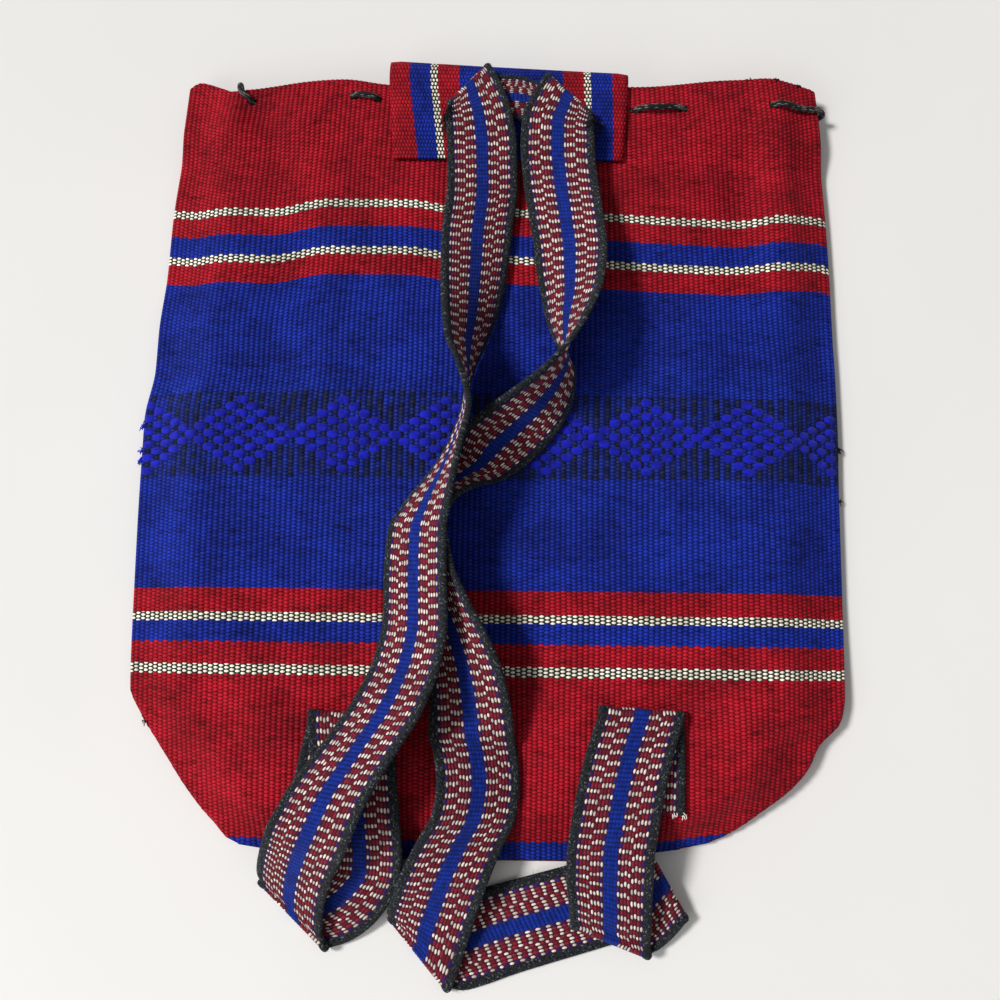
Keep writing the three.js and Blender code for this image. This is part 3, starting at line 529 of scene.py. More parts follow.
def strap_line():
    """The strap's rows placed in millimetres, each with its distance along the strap."""
    rows = []
    before = None
    for whole_row in STRAP_ROUTE:
        x, y, wide, long, rise, layers, lift = (value / unit for value, unit in zip(whole_row, ROUTE_UNITS))
        centre = (x * HALF_WIDTH, y * BAG_HEIGHT)
        across = (wide * STRAP_WIDTH, long * STRAP_WIDTH, rise * STRAP_WIDTH)
        z = rest_height(*centre, *across) + layers * STRAP_PITCH + lift * BAG_DEPTH
        row = (*centre, z, *across, layers)
        rows += [row] if layers == int(layers) else fold_rows(row, before)
        before = row
    travelled = 0.0
    line = []
    for i, row in enumerate(rows):
        travelled += math.dist(row[:3], around(rows, i)[0][:3])
        line.append((travelled, *row))
    return line


# Place in the model's frame

widest_left = HALF_WIDTH * max(row[1] for row in OUTLINE)
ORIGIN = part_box("bag_body")[0] + Vector((widest_left * METRES, 0.0, 0.0))
ORIGIN.z = 0.0


def placed(point):
    """A point in the model's frame, in metres."""
    return ORIGIN + Vector(point) * METRES


def new_object(name, data):
    made = bpy.data.objects.new(name, data)
    bpy.context.scene.collection.objects.link(made)
    return made


# Camera, where the photo was taken: above the bag, tilted towards its mouth and a little rolled

CAMERA_POINT = (4.6, 91.2, 480.0)
CAMERA_TILT = math.radians(9.0)
CAMERA_ROLL = math.radians(0.7)
CAMERA_NEAR = 0.01
SENSOR = 36.0
FOCAL_LENGTH = 36.0


def add_camera():
    data = bpy.data.cameras.new("camera")
    data.sensor_width = SENSOR
    data.lens = FOCAL_LENGTH
    data.clip_start = CAMERA_NEAR
    camera = new_object("camera", data)
    turned = Matrix.Rotation(CAMERA_TILT, 4, "X") @ Matrix.Rotation(CAMERA_ROLL, 4, "Z")
    camera.matrix_world = Matrix.Translation(placed(CAMERA_POINT)) @ turned
    bpy.context.scene.camera = camera


# Light and floor


def shine(light, direction):
    light.rotation_euler = direction.to_track_quat("-Z", "Y").to_euler()


def add_light():
    data = bpy.data.lights.new("window", "SUN")
    data.energy = SUN_ENERGY
    data.angle = math.radians(SUN_ANGLE)
    data.color = SUN_COLOUR
    shine(new_object("window", data), Vector(SUN_TRAVEL))
    data = bpy.data.lights.new("lamp", "AREA")
    data.size = LAMP_SIZE * METRES
    data.energy = LAMP_POWER
    lamp = new_object("lamp", data)
    lamp.location = placed(LAMP_POINT)
    shine(lamp, placed((0.0, 0.0, 0.0)) - lamp.location)
    world = bpy.data.worlds.new("studio")
    bpy.context.scene.world = world
    world.use_nodes = True
    background = world.node_tree.nodes["Background"]
    background.inputs["Color"].default_value = (*SKY_COLOUR, 1.0)
    background.inputs["Strength"].default_value = SKY_STRENGTH
    bpy.context.scene.view_settings.view_transform = "Standard"


def add_floor():
    mesh = bpy.data.meshes.new("floor")
    reach = FLOOR_REACH * METRES
    corners = [(-reach, -reach, 0.0), (reach, -reach, 0.0), (reach, reach, 0.0), (-reach, reach, 0.0)]
    mesh.from_pydata(corners, [], [(0, 1, 2, 3)])
    floor = new_object("floor", mesh)
    floor.location.z = -FLOOR_GAP * METRES
    graph = Graph("floor_cloth")
    mottle = graph.noise(*graph.places("Object"), across=FLOOR_MOTTLE, along=FLOOR_MOTTLE, detail=3.0)
    mesh.materials.append(graph.finish(graph.mix(mottle, FLOOR_DARK, FLOOR_PALE), roughness=0.9))


# Node graphs. A mix node has its colours in these sockets.

MIX_FIRST = 6
MIX_SECOND = 7
MIX_RESULT = 2


def math_method(operation, swapped=False):
    """A method of Number that adds a math node. The swapped one takes the method's own value second."""

    def method(self, *others):
        values = (*others, self) if swapped else (self, *others)
        return self.graph.math(operation, *values)

    return method


class Number:
    """A value in a material's node graph. Arithmetic on it adds math nodes."""

    __add__ = math_method("ADD")
    __radd__ = math_method("ADD", swapped=True)
    __sub__ = math_method("SUBTRACT")
    __rsub__ = math_method("SUBTRACT", swapped=True)
    __mul__ = math_method("MULTIPLY")
    __rmul__ = math_method("MULTIPLY", swapped=True)
    __truediv__ = math_method("DIVIDE")
    __pow__ = math_method("POWER")
    floor = math_method("FLOOR")
    fraction = math_method("FRACT")
    size = math_method("ABSOLUTE")
    sine = math_method("SINE")
    highest = math_method("MAXIMUM")
    below = math_method("LESS_THAN")
    above = math_method("GREATER_THAN")

    def __init__(self, graph, socket):
        self.graph = graph
        self.socket = socket

    def swing(self):
        """From -1 to 1 between each whole number and the next."""
        return self.fraction() * 2.0 - 1.0

    def wave(self):
        """The size of a sine wave that is 0 at each whole number."""
        return (self * math.pi).sine().size()

    def spread(self, low, high):
        """0 at low and under it, 1 at high and over it, smooth between."""
        values = {"Value": self, "From Min": low, "From Max": high}
        return self.graph.node("ShaderNodeMapRange", values, "Result", interpolation_type="SMOOTHSTEP")


class Graph:
    """A material and the nodes that make it."""

    def __init__(self, name):
        self.material = bpy.data.materials.new(name)
        self.material.use_nodes = True
        self.tree = self.material.node_tree
        self.shader = self.tree.nodes["Principled BSDF"]

    def node(self, kind, values, output=0, **settings):
        """The output of a new node that has these settings, with values at its sockets."""
        node = self.tree.nodes.new(kind)
        for name, setting in settings.items():
            setattr(node, name, setting)
        for name, value in values.items():
            self.feed(node.inputs[name], value)
        return Number(self, node.outputs[output])

    def feed(self, target, value):
        if isinstance(value, Number):
            self.tree.links.new(value.socket, target)
        else:
            target.default_value = value

    def math(self, operation, *values):
        return self.node("ShaderNodeMath", dict(enumerate(values)), operation=operation)

    def mix(self, share, first, second):
        first, second = (value if isinstance(value, Number) else (*value, 1.0) for value in (first, second))
        values = {0: share, MIX_FIRST: first, MIX_SECOND: second}
        return self.node("ShaderNodeMix", values, MIX_RESULT, data_type="RGBA")

    def scaled(self, colour, factor):
        """A colour made darker or lighter."""
        return self.node("ShaderNodeVectorMath", {0: colour, "Scale": factor}, operation="SCALE")

    def part(self, vector, axis):
        return self.node("ShaderNodeSeparateXYZ", {0: vector}, axis)

    def places(self, kind="UV"):
        """The two places across and along a surface: in its weave, or on the floor."""
        point = self.node("ShaderNodeTexCoord", {}, kind)
        return self.part(point, "X"), self.part(point, "Y")

    def noise(self, x, y, across, along, detail=2.0, roughness=0.5):
        """Smooth noise. across and along: how many of its patches go into one unit of x and of y."""
        point = self.node("ShaderNodeCombineXYZ", {"X": x * across, "Y": y * along})
        values = {"Vector": point, "Scale": 1.0, "Detail": detail, "Roughness": roughness}
        return self.node("ShaderNodeTexNoise", values)

    def chance(self, x, y):
        """A different value from 0 to 1 in each cell."""
        cell = self.node("ShaderNodeCombineXYZ", {"X": x, "Y": y})
        return self.node("ShaderNodeTexWhiteNoise", {"Vector": cell}, "Value", noise_dimensions="2D")

    def bands(self, place, rows):
        """Colour by place along a length: rows are (start, colour)."""
        colour = rows[0][1]
        for start, band in rows[1:]:
            colour = self.mix(place.above(start), colour, band)
        return colour

    def finish(self, colour, roughness, height=None, bump=0.0, distance=0.0, sheen=0.0):
        """The material, with its colour, and its height as bumps that are distance metres high."""
        self.feed(self.shader.inputs["Base Color"], colour)
        self.shader.inputs["Roughness"].default_value = roughness
        self.shader.inputs["Specular IOR Level"].default_value = YARN_GLOSS
        self.shader.inputs["Sheen Weight"].default_value = sheen
        if height:
            values = {"Strength": bump, "Distance": distance, "Height": height}
            self.feed(self.shader.inputs["Normal"], self.node("ShaderNodeBump", values))
        return self.material


def blend(share, first, second):
    """A value between two others."""
    return first + (second - first) * share


def oval(across, narrow, along, short):
    """1 at a bead's middle, falling to 0 at its rim. The larger narrow and short, the smaller the bead."""
    return (1.0 - narrow * across * across - short * along * along).highest(0.0)


# Woven cloth

YARN_GLOSS = 0.12
BEAD_NARROW = 0.62
BEAD_SHORT = 0.9
BEAD_SEED = 7.0

# The tone of the dye: its least, and what the patches and each bead's own chance add. Flecks darken it.
TONE_LEAST = 0.72
TONE_OF_PATCH = 0.5
TONE_OF_BEAD = 0.34
TONE_OF_FLECK = 0.5
PATCH_RANGE = (0.3, 0.72)
FLECK_RANGE = (0.52, 0.68)

# Painted shade: beads show lit where their height passes these ranges. White is what is greener than
# WHITE_GREEN.
DYED_SHADE_RANGE = (0.3, 0.88)
WHITE_SHADE_RANGE = (0.66, 0.92)
WHITE_GREEN = 0.3
# Painted shade in the gaps and painted light on the crowns: darker and lighter copies of a stripe's colour
GAP_SHADE_TONE = 0.4
CROWN_LIGHT_TONE = 1.2
# Share of the painted grey sheen on the crowns
CROWN_SHEEN_SHARE = 0.03

# The dark band: how much of it covers each rib and each odd rib, its tone and painted shade, and its ragged
# edges
BAND_COVER = 0.35
BAND_ODD_COVER = 0.55
BAND_FOOT_SHADE = 0.4
BAND_LEAST_CHANCE = 0.5
BAND_RANGE = (0.3, 0.5)


def woven(graph, ribs, run):
    """The beads of the weave, from the rib's number and the place along it. odd: 0.5 on every other rib."""
    rib = ribs.floor()
    half_bead = (rib * 0.5).fraction()
    stagger = half_bead + graph.chance(rib, BEAD_SEED) * BEAD_DRIFT
    beads = run / BEAD + stagger
    bead = beads.floor()
    return {
        "odd": half_bead,
        "middle": blend(BEAD_HOLD, run, (bead + 0.5 - stagger) * BEAD),
        "height": oval(ribs.swing(), BEAD_NARROW, beads.swing(), BEAD_SHORT) ** 0.5,
        "chance": graph.chance(rib, bead),
    }


def cloth_colour(graph, weave, stripes, ribs, run):
    """Striped yarn, painted shade between its beads and painted light on them, uneven dye, dark flecks
    along the rows.
    """
    height = weave["height"]
    white = graph.part(stripes, "Y").above(WHITE_GREEN)
    patches = graph.noise(ribs, run, across=0.1, along=0.045, detail=3.0, roughness=0.6)
    streaks = graph.noise(ribs, run, across=0.26, along=0.34, detail=4.0, roughness=0.7)
    fleck = streaks.spread(*FLECK_RANGE) * (1.0 - white)
    dye = TONE_LEAST + TONE_OF_PATCH * patches.spread(*PATCH_RANGE) + TONE_OF_BEAD * (weave["chance"] - 0.5)
    # Painted shade and light: the lower a bead's surface, the darker its colour
    depth = blend(white, height.spread(*DYED_SHADE_RANGE), height.spread(*WHITE_SHADE_RANGE))
    gap_shade = graph.mix(white, graph.scaled(stripes, GAP_SHADE_TONE), WHITE_GAP_SHADE)
    # Painted highlight: the crowns take a little grey sheen
    bead = graph.mix(CROWN_SHEEN_SHARE, graph.scaled(stripes, CROWN_LIGHT_TONE), CROWN_SHEEN_GREY)
    return graph.scaled(graph.mix(depth, gap_shade, bead), dye * (1.0 - TONE_OF_FLECK * fleck))


def cloth_material(name, stripes, brocade=False):
    """Striped cloth, for the bag also with the brocade's dark band."""
    graph = Graph(name)
    u, v = graph.places()
    weave = woven(graph, u, v)
    height = weave["height"]
    colour = cloth_colour(graph, weave, graph.bands(weave["middle"], stripes), u, v)
    if brocade:
        band = (v - BROCADE_MIDDLE).size().below(BROCADE_HALF_BAND)
        ragged = graph.noise(u, v, across=0.9, along=0.14).spread(*BAND_RANGE)
        cover = BAND_COVER + BAND_ODD_COVER * weave["odd"].above(0.25)
        # Dark yarn with painted shade: darker low on each bead, lighter on its crown
        dark = graph.scaled(DARK_RIB, (BAND_FOOT_SHADE + height) * (BAND_LEAST_CHANCE + weave["chance"]))
        colour = graph.mix(band * cover * ragged, colour, dark)
    return graph.finish(colour, roughness=0.75, height=height, bump=1.0, distance=CLOTH_BUMP)


FLOAT_STRANDS = 7.0
FLOAT_STRAY = 2.2
FLOAT_TONE = 0.3
FLOAT_TONE_CHANCE = 0.55
# Painted shade in the grooves between the floats' strands
FLOAT_STRAND_SHADE = 0.35


def float_material():
    graph = Graph("brocade_yarn")
    u, v = graph.places()
    strand = (v * FLOAT_STRANDS + graph.noise(u, v, across=3.0, along=3.0) * FLOAT_STRAY).wave()
    # Painted shade: darker in the grooves between strands, lighter on their crowns
    tone = graph.chance(u.floor(), v.floor()) * FLOAT_TONE_CHANCE + FLOAT_TONE + strand * FLOAT_STRAND_SHADE
    colour = graph.scaled(BROCADE_BLUE, tone)
    return graph.finish(colour, roughness=0.8, height=strand, bump=0.6, distance=0.0002, sheen=0.1)


# Strap band. A dash shows where its height passes DASH_RANGE, and painted shade below it. Its tone differs
# from dash to dash.

DASH_SEED = 3.0
DASH_SHORT = 0.95
DASH_RANGE = (0.12, 0.5)
DASH_TONE = 0.44
DASH_TONE_CHANCE = 0.48

# The plain blue middle: the shape and tone of its stitches, with painted shade between them and painted
# light on them
PICK_NARROW = 0.3
PICK_SHORT = 0.8
PICK_GAP_SHADE = 0.35
PICK_CROWN_LIGHT = 0.85
PICK_CHANCE = 0.75
PICK_CHANCE_SPAN = 0.5

# The rolled edges: slanting lines of twill per millimetre, their wobble, painted shade in their grooves,
# worn fuzz, and rare pale specks
TWILL_ALONG = 0.75
TWILL_ACROSS = 0.6
TWILL_WOBBLE = 3.0
TWILL_GROOVE_SHADE = 0.4
TWILL_BUMP = 0.9
FUZZ_RANGE = (0.42, 0.62)
SPECK_CELLS = (1.7, 0.3, 1.4)
SPECK_RARE = 0.9
SPECK_RANGE = (0.4, 0.6)
SPECK_COVER = 0.6


def dashes(graph, u, v):
    """Colour and height of the strap's columns of yarn."""
    columns = (u - STRAP_WIDTH / 2) / COLUMN_WIDTH
    column = columns.floor()
    across = columns.swing()
    far = (column + 0.5).size()
    right_half = column.above(-0.5)
    drift = graph.chance(column, DASH_SEED) * DASH_DRIFT
    passes = v / DASH_PERIOD + far.above(INNER_GROUP) * 0.5 + right_half * RIGHT_SHIFT + drift
    beat = passes.fraction()
    share = graph.chance(column, passes.floor()) * DASH_UNEVEN + DASH_SHARE - DASH_UNEVEN / 2
    white = beat.below(share)
    white_along = beat / share * 2.0 - 1.0
    ground_along = (beat - share) / (1.0 - share) * 2.0 - 1.0
    along = blend(white, ground_along, white_along)
    chance = graph.chance(column, passes.floor() * 2.0 + white)
    height = oval(across, blend(white, 1.0, DASH_NARROW), along, DASH_SHORT)
    ground = graph.mix(far.above(OUTER_PURPLE), STRAP_RED, STRAP_PURPLE)
    ground = graph.mix(far.below(INNER_PURPLE), ground, STRAP_PURPLE)
    yarn = graph.scaled(graph.mix(white, ground, STRAP_WHITE), DASH_TONE + DASH_TONE_CHANCE * chance)
    # Painted shade in the gaps round each dash and yarn
    pattern = graph.mix(height.spread(*DASH_RANGE), STRAP_GAP_SHADE, yarn)
    pick = oval(across, PICK_NARROW, (v / STRAP_PICK).swing(), PICK_SHORT)
    # Painted shade between the blue stitches and painted light on their crowns
    tone = (PICK_GAP_SHADE + PICK_CROWN_LIGHT * pick) * (PICK_CHANCE + PICK_CHANCE_SPAN * chance)
    middle = far.below(CENTRE_COLUMNS)
    return graph.mix(middle, pattern, graph.scaled(STRAP_BLUE, tone)), blend(middle, height, pick)


def rolled_edge(graph, u, v):
    """Colour and height of the strap's dark edges."""
    wobble = graph.noise(u, v, across=0.5, along=0.5) * TWILL_WOBBLE
    twill = 1.0 - (v * TWILL_ALONG + (u - STRAP_WIDTH / 2).size() * TWILL_ACROSS + wobble).wave()
    fuzz = graph.noise(u, v, across=0.9, along=0.9, detail=4.0, roughness=0.8)
    # Painted shade: the twill's grooves are darker than its ridges; the fuzz makes patches lighter
    light = (TWILL_GROOVE_SHADE + (1.0 - TWILL_GROOVE_SHADE) * twill) * fuzz.spread(*FUZZ_RANGE)
    black = graph.mix(light, STRAP_BLACK, STRAP_GREY)
    across, lean, along = SPECK_CELLS
    specks = graph.chance((u * across + v * lean).floor(), (v * along).floor()).above(SPECK_RARE)
    colour = graph.mix(specks * fuzz.spread(*SPECK_RANGE) * SPECK_COVER, black, STRAP_FLECK)
    return colour, twill * TWILL_BUMP + fuzz


def strap_material():
    """Columns of yarn between two dark rolled edges, with white dashes beside the plain blue middle."""
    graph = Graph("strap_band")
    u, v = graph.places()
    inner_colour, inner_height = dashes(graph, u, v)
    edge_colour, edge_height = rolled_edge(graph, u, v)
    edge = (u - STRAP_WIDTH / 2).size().above(STRAP_WIDTH / 2 - STRAP_EDGE_WIDTH)
    colour = graph.mix(edge, inner_colour, edge_colour)
    height = blend(edge, inner_height, edge_height)
    return graph.finish(colour, roughness=0.8, height=height, bump=0.9, distance=0.0004, sheen=0.05)


CORD_FLECKS = 0.6
CORD_GAP_SHADE = 0.4
CORD_STRAND_LIGHT = 1.4


def cord_material():
    """Black strands that cross, with painted shade between them and a grey fleck on some."""
    graph = Graph("black_braid")
    u, v = graph.places()
    one_way = u * BRAID_STRANDS + v / BRAID_PITCH
    other_way = u * BRAID_STRANDS - v / BRAID_PITCH
    strand = (one_way * 2.0).wave() * (other_way * 2.0).wave()
    fleck = graph.chance((one_way * 2.0).floor(), (other_way * 2.0).floor()).above(CORD_FLECKS)
    # Painted shade between the strands, painted light on their crowns
    black = graph.scaled(CORD_BLACK, CORD_GAP_SHADE + CORD_STRAND_LIGHT * strand)
    colour = graph.mix(fleck * strand, black, CORD_GREY)
    return graph.finish(colour, roughness=0.6, height=strand, bump=0.6, distance=0.0003, sheen=0.05)


YARN_TWIST = 0.8
YARN_GAP_SHADE = 0.5
YARN_TWIST_LIGHT = 0.8


def yarn_material(name, colour):
    """Two plies twisted round each other, with painted shade between them."""
    graph = Graph(name)
    u, v = graph.places()
    twist = ((u + v * YARN_TWIST) * 2.0).wave()
    # Painted shade between the plies, painted light on their crowns
    colour = graph.scaled(colour, YARN_GAP_SHADE + YARN_TWIST_LIGHT * twist)
    return graph.finish(colour, roughness=0.9, height=twist, bump=0.4, distance=0.0001)


# Meshes


class Surface:
    """Points in millimetres with their places in the weave, and the faces between them."""

    def __init__(self):
        self.points = []
        self.places = []
        self.faces = []

    def point(self, position, place):
        self.points.append(placed(position))
        self.places.append(place)
        return len(self.points) - 1

    def face(self, corners, flip=False):
        """Adds a face, without corners that repeat the one before."""
        corners = corners[::-1] if flip else corners
        kept = [corner for i, corner in enumerate(corners) if corner != corners[i - 1]]
        if len(kept) > 2:
            self.faces.append(kept)

    def grid(self, rows, flip=False, closed=False):
        """Adds the faces between rows of points. In closed ones each row's last point joins its first."""
        for row, above in zip(rows, rows[1:]):
            for i in range(0 if closed else 1, len(row)):
                self.face((row[i - 1], row[i], above[i], above[i - 1]), flip)

    def piece(self, name, material, slot):
        mesh = bpy.data.meshes.new(name)
        mesh.from_pydata(self.points, [], self.faces)
        weave = mesh.uv_layers.new(name="weave")
        for corner, loop in zip(weave.data, mesh.loops):
            corner.uv = self.places[loop.vertex_index]
        mesh.polygons.foreach_set("use_smooth", [True] * len(mesh.polygons))
        mesh.materials.append(material)
        made = new_object(name, mesh)
        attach(made, "root")
        return made


def add_tube(surface, points, radius, sides, relief=None):
    """A round thread or cord through points. relief(turn, length) changes its radius."""
    side = (points[1] - points[0]).orthogonal().normalized()
    travelled = 0.0
    rows = []
    for i, centre in enumerate(points):
        before, after = around(points, i)
        ahead = (after - before).normalized()
        side = (side - ahead * side.dot(ahead)).normalized()
        other = ahead.cross(side)
        travelled += (centre - before).length
        ring = []
        for j in range(sides):
            turn = j / sides
            angle = turn * math.tau
            reach = radius + (relief(turn, travelled) if relief else 0.0)
            outward = side * math.cos(angle) + other * math.sin(angle)
            ring.append(surface.point(centre + outward * reach, (turn, travelled)))
        rows.append(ring)
    surface.grid(rows, closed=True)
    surface.face(rows[0], flip=True)
    surface.face(rows[-1])


# Bag

stripe_wave = smooth_column(STRIPE_WAVE, 1)


def stripe_place(x, y):
    """Where a point lies between the stripes, which wave above their straight lines in the upper half."""
    side = x / HALF_WIDTH
    rise = stripe_wave(side) * smooth_step((y - STRIPE_WAVE_START) / STRIPE_WAVE_REACH)
    at_corner = smooth_step((side - CORNER_RISE_START) / CORNER_RISE_SPAN)
    return y - rise - CORNER_RISE * at_corner * (1 - smooth_step(y / CORNER_RISE_TOP))


def above_corners(y):
    """The height, or the top of the slanting corners if that is higher."""
    return max(y, CORNER_TOP * BAG_HEIGHT)


def bag_x(rib, y):
    """The ribs run straight up, and the slanting edges of the lower corners cut them off."""
    straight = rib / (RIBS / 2) * half_width_at(rib, above_corners(y))
    reach = half_width_at(rib, y)
    return min(max(straight, -reach), reach)


def wave_at(side, y):
    return mouth_wave(side) * BAG_HEIGHT * smooth_step((y / BAG_HEIGHT - 1 + WAVE_SPAN) / WAVE_SPAN)


def rib_relief(rib):
    """How far the surface lies below the crowns of the ribs."""
    across = 2 * (rib % 1.0) - 1
    return RIB_RELIEF * (1 - math.sqrt(1 - across * across))


def bag_row_places():
    places = list(BOTTOM_ROWS)
    for start, end, step in ((ROW_START, HEM_START, ROW_STEP), (HEM_START, BAG_HEIGHT, HEM_STEP)):
        count = round((end - start) / step)
        places += [start + (end - start) * i / count for i in range(count)]
    return [*places, BAG_HEIGHT]


def wandered(x, y):
    """The ribs wander a little from side to side, but not at the bag's edges."""
    inward = min(max(half_width_at(x, y) - abs(x), 0.0) / EDGE_REACH, 1.0)
    return x + RIB_WANDER * inward * noise.noise(Vector((x / WANDER_ACROSS, y / WANDER_ALONG, 0.0)))


def outer_row(surface, y, parts, upper):
    """A row of the bag's outside. Points that the slanting corners cut off fall on the last one before."""
    row = []
    last = None
    for i in range(RIBS * parts + 1):
        rib = i / parts - RIBS / 2
        x = bag_x(rib, y)
        if last is not None and abs(x - last) < SAME_PLACE:
            row.append(row[-1])
            continue
        last = x
        shown_rib = x / half_width_at(rib, above_corners(y)) * RIBS / 2
        place = (shown_rib + RIBS, stripe_place(x, y) + (0.0 if upper else UNDER_SHIFT))
        side = x / max(half_width_at(rib, y), EDGE_DEPTH)
        x = wandered(x, y)
        under, top = bag_faces(x, y)
        relief = rib_relief(rib) * min((top - under) / EDGE_DEPTH, 1.0)
        z = top - relief if upper else under + relief
        row.append(surface.point((x, y + wave_at(side, y), z), place))
    return row


def inner_row(surface, share, upper):
    inset = CLOTH + 2 * CLEARANCE
    y = inset + (BAG_HEIGHT - inset) * share
    row = []
    for i in range(RIBS + 1):
        rib = i - RIBS / 2
        side = rib / (RIBS / 2)
        x = side * (half_width_at(side, y) - inset)
        under, top = bag_faces(x, y)
        middle = (top + under) / 2
        closed = share == 0 or i in (0, RIBS)
        half = 0.0 if closed else max((top - under) / 2 - CLOTH, CLEARANCE)
        z = middle + half if upper else middle - half
        row.append(surface.point((x, y + wave_at(side, y), z), (rib + RIBS, y)))
    return row


def cut_cord_holes(surface, first, cord_path):
    """Takes away the hem's faces that the cord passes through, from the first face on."""
    near = KDTree(len(cord_path))
    for i, point in enumerate(cord_path):
        near.insert(placed(point), i)
    near.balance()
    kept = []
    for face in surface.faces[first:]:
        centre = sum((surface.points[i] for i in face), Vector()) / len(face)
        in_hem = centre.y > placed((0, HEM_START, 0)).y
        if not (in_hem and near.find(centre)[2] < (CORD_RADIUS + CLEARANCE) * METRES):
            kept.append(face)
    surface.faces[first:] = kept


def add_bag(cord_path):
    surface = Surface()
    for upper in (True, False):
        parts = RIB_PARTS if upper else 1
        first = len(surface.faces)
        rows = [outer_row(surface, y, parts, upper) for y in bag_row_places()]
        surface.grid(rows, flip=not upper)
        cut_cord_holes(surface, first, cord_path)
        inner = [inner_row(surface, i / INNER_ROWS, upper) for i in range(INNER_ROWS + 1)]
        surface.grid(inner, flip=upper)
        rim = rows[-1]
        lip = inner[-1]
        for i in range(RIBS):
            surface.face((*rim[i * parts:(i + 1) * parts + 1], lip[i + 1], lip[i]), flip=not upper)
    bag = surface.piece("bag_cloth", cloth_material("striped_cloth", BAG_STRIPES, brocade=True), "cloth")
    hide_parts("bag_body")
    return bag


# Flap


def flap_x(side, taper=0.0):
    return FLAP_OFFSET + side * FLAP_WIDTH / 2 * (1 - taper)


def flap_line():
    """The rows along the flap: a stretch of it and the place in that stretch."""
    line = []
    lengths = {"back": FLAP_BACK_LENGTH, "turn": FLAP_TURN_LENGTH, "front": FLAP_FRONT_LENGTH}
    for stretch, length in lengths.items():
        count = round(length / FLAP_ROW_STEP)
        line += [(stretch, i / count) for i in range(count)]
    return [*line, ("front", 1.0)]


def flap_middle(side, stretch, place):
    """A point halfway through the flap's thickness."""
    x = flap_x(side)
    stand_off = CLOTH / 2 + FLAP_GAP
    mouth = BAG_HEIGHT * (1 + mouth_wave(x / HALF_WIDTH)) + stand_off
    if stretch == "back":
        start = BAG_HEIGHT - FLAP_BACK_LENGTH
        y = start + (mouth - start) * place
        x = flap_x(side, FLAP_TAPER * (1 - place))
        return Vector((x, y, bag_faces(x, min(y, BAG_HEIGHT))[1] + stand_off))
    if stretch == "turn":
        angle = math.pi * place
        high = bag_faces(x, BAG_HEIGHT)[1] + stand_off
        low = CLOTH / 2
        y = mouth + FLAP_BULGE * (1 - FLAP_SKEW * side) * math.sin(angle)
        return Vector((x, y, (high + low) / 2 + (high - low) / 2 * math.cos(angle)))
    return Vector((x, mouth - FLAP_FRONT_LENGTH * place, CLOTH / 2))


def flap_face(surface, sides, grid, ribs, direction):
    """The flap's upper face, at direction 1, or its lower one, at -1."""
    rows = []
    for i, line in enumerate(grid):
        row = []
        before, after = around(grid, i)
        for j, middle in enumerate(line):
            left, right = around(line, j)
            normal = (right - left).cross(after[j] - before[j]).normalized()
            edge = min(j, FLAP_COLUMNS - j, FLAP_EDGE_COLUMNS) / FLAP_EDGE_COLUMNS
            half = CLOTH / 2 * blend(edge, FLAP_EDGE_SHARE, 1) - rib_relief(ribs[i])
            low = max(1 - ribs[i] * FLAP_RIB_PITCH / FLAP_BACK_LENGTH, 0.0)
            across_flap = (sides[j] + 1) / 2 * FLAP_WIDTH
            place = (ribs[i] + FLAP_FIRST_RIB, across_flap - FLAP_STRIPE_LEAN * low)
            row.append(surface.point(middle + normal * direction * half, place))
        rows.append(row)
    surface.grid(rows, flip=direction < 0)
    return rows


def add_flap():
    sides = [2 * j / FLAP_COLUMNS - 1 for j in range(FLAP_COLUMNS + 1)]
    grid = [[flap_middle(side, *row) for side in sides] for row in flap_line()]
    travelled = 0.0
    ribs = []
    for i, line in enumerate(grid):
        travelled += (line[FLAP_COLUMNS // 2] - around(grid, i)[0][FLAP_COLUMNS // 2]).length
        ribs.append(travelled / FLAP_RIB_PITCH)
    surface = Surface()
    upper, lower = (flap_face(surface, sides, grid, ribs, direction) for direction in (1, -1))
    left = ([row[0] for row in upper], [row[0] for row in lower])
    right = ([row[-1] for row in lower], [row[-1] for row in upper])
    for pair in (left, right, (lower[0], upper[0]), (upper[-1], lower[-1])):
        surface.grid(pair)
    flap = surface.piece("flap_cloth", cloth_material("striped_flap_cloth", FLAP_STRIPES), "flap_cloth")
    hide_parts("flap")
    return flap


# Strap


def strap_section():
    """The upper half of the section, from the inner to the outer edge: distance across, and height."""
    roll = [(STRAP_EDGE_WIDTH * share, STRAP_EDGE_THICKNESS / 2 * height) for share, height in EDGE_ROLL]
    groove = STRAP_THICKNESS / 2 - COLUMN_RELIEF
    points = list(roll)
    for column in range(STRAP_COLUMNS):
        start = STRAP_EDGE_WIDTH + column * COLUMN_WIDTH
        points += [(start, groove), (start + COLUMN_WIDTH / 2, STRAP_THICKNESS / 2)]
    points.append((STRAP_WIDTH - STRAP_EDGE_WIDTH, groove))
    return points + [(STRAP_WIDTH - across, height) for across, height in reversed(roll)]


def strap_stations():
    """Evenly spaced places along the strap: distance along it, its middle, and the line across it."""
    line = strap_line()
    values = [smooth_column(line, column) for column in range(1, len(line[0]) - 1)]
    stops = []
    for row, after in zip(line, line[1:]):
        parts = max(round((after[0] - row[0]) / STRAP_STEP), 1)
        stops += [row[0] + (after[0] - row[0]) * part / parts for part in range(parts)]
    stops.append(line[-1][0])
    stations = []
    for at in stops:
        x, y, z, wide, long, rise = (value(at) for value in values)
        z = max(z, rest_height(x, y, wide, long, rise))
        stations.append((at, Vector((x, y, z)), Vector((wide, long, rise))))
    return stations


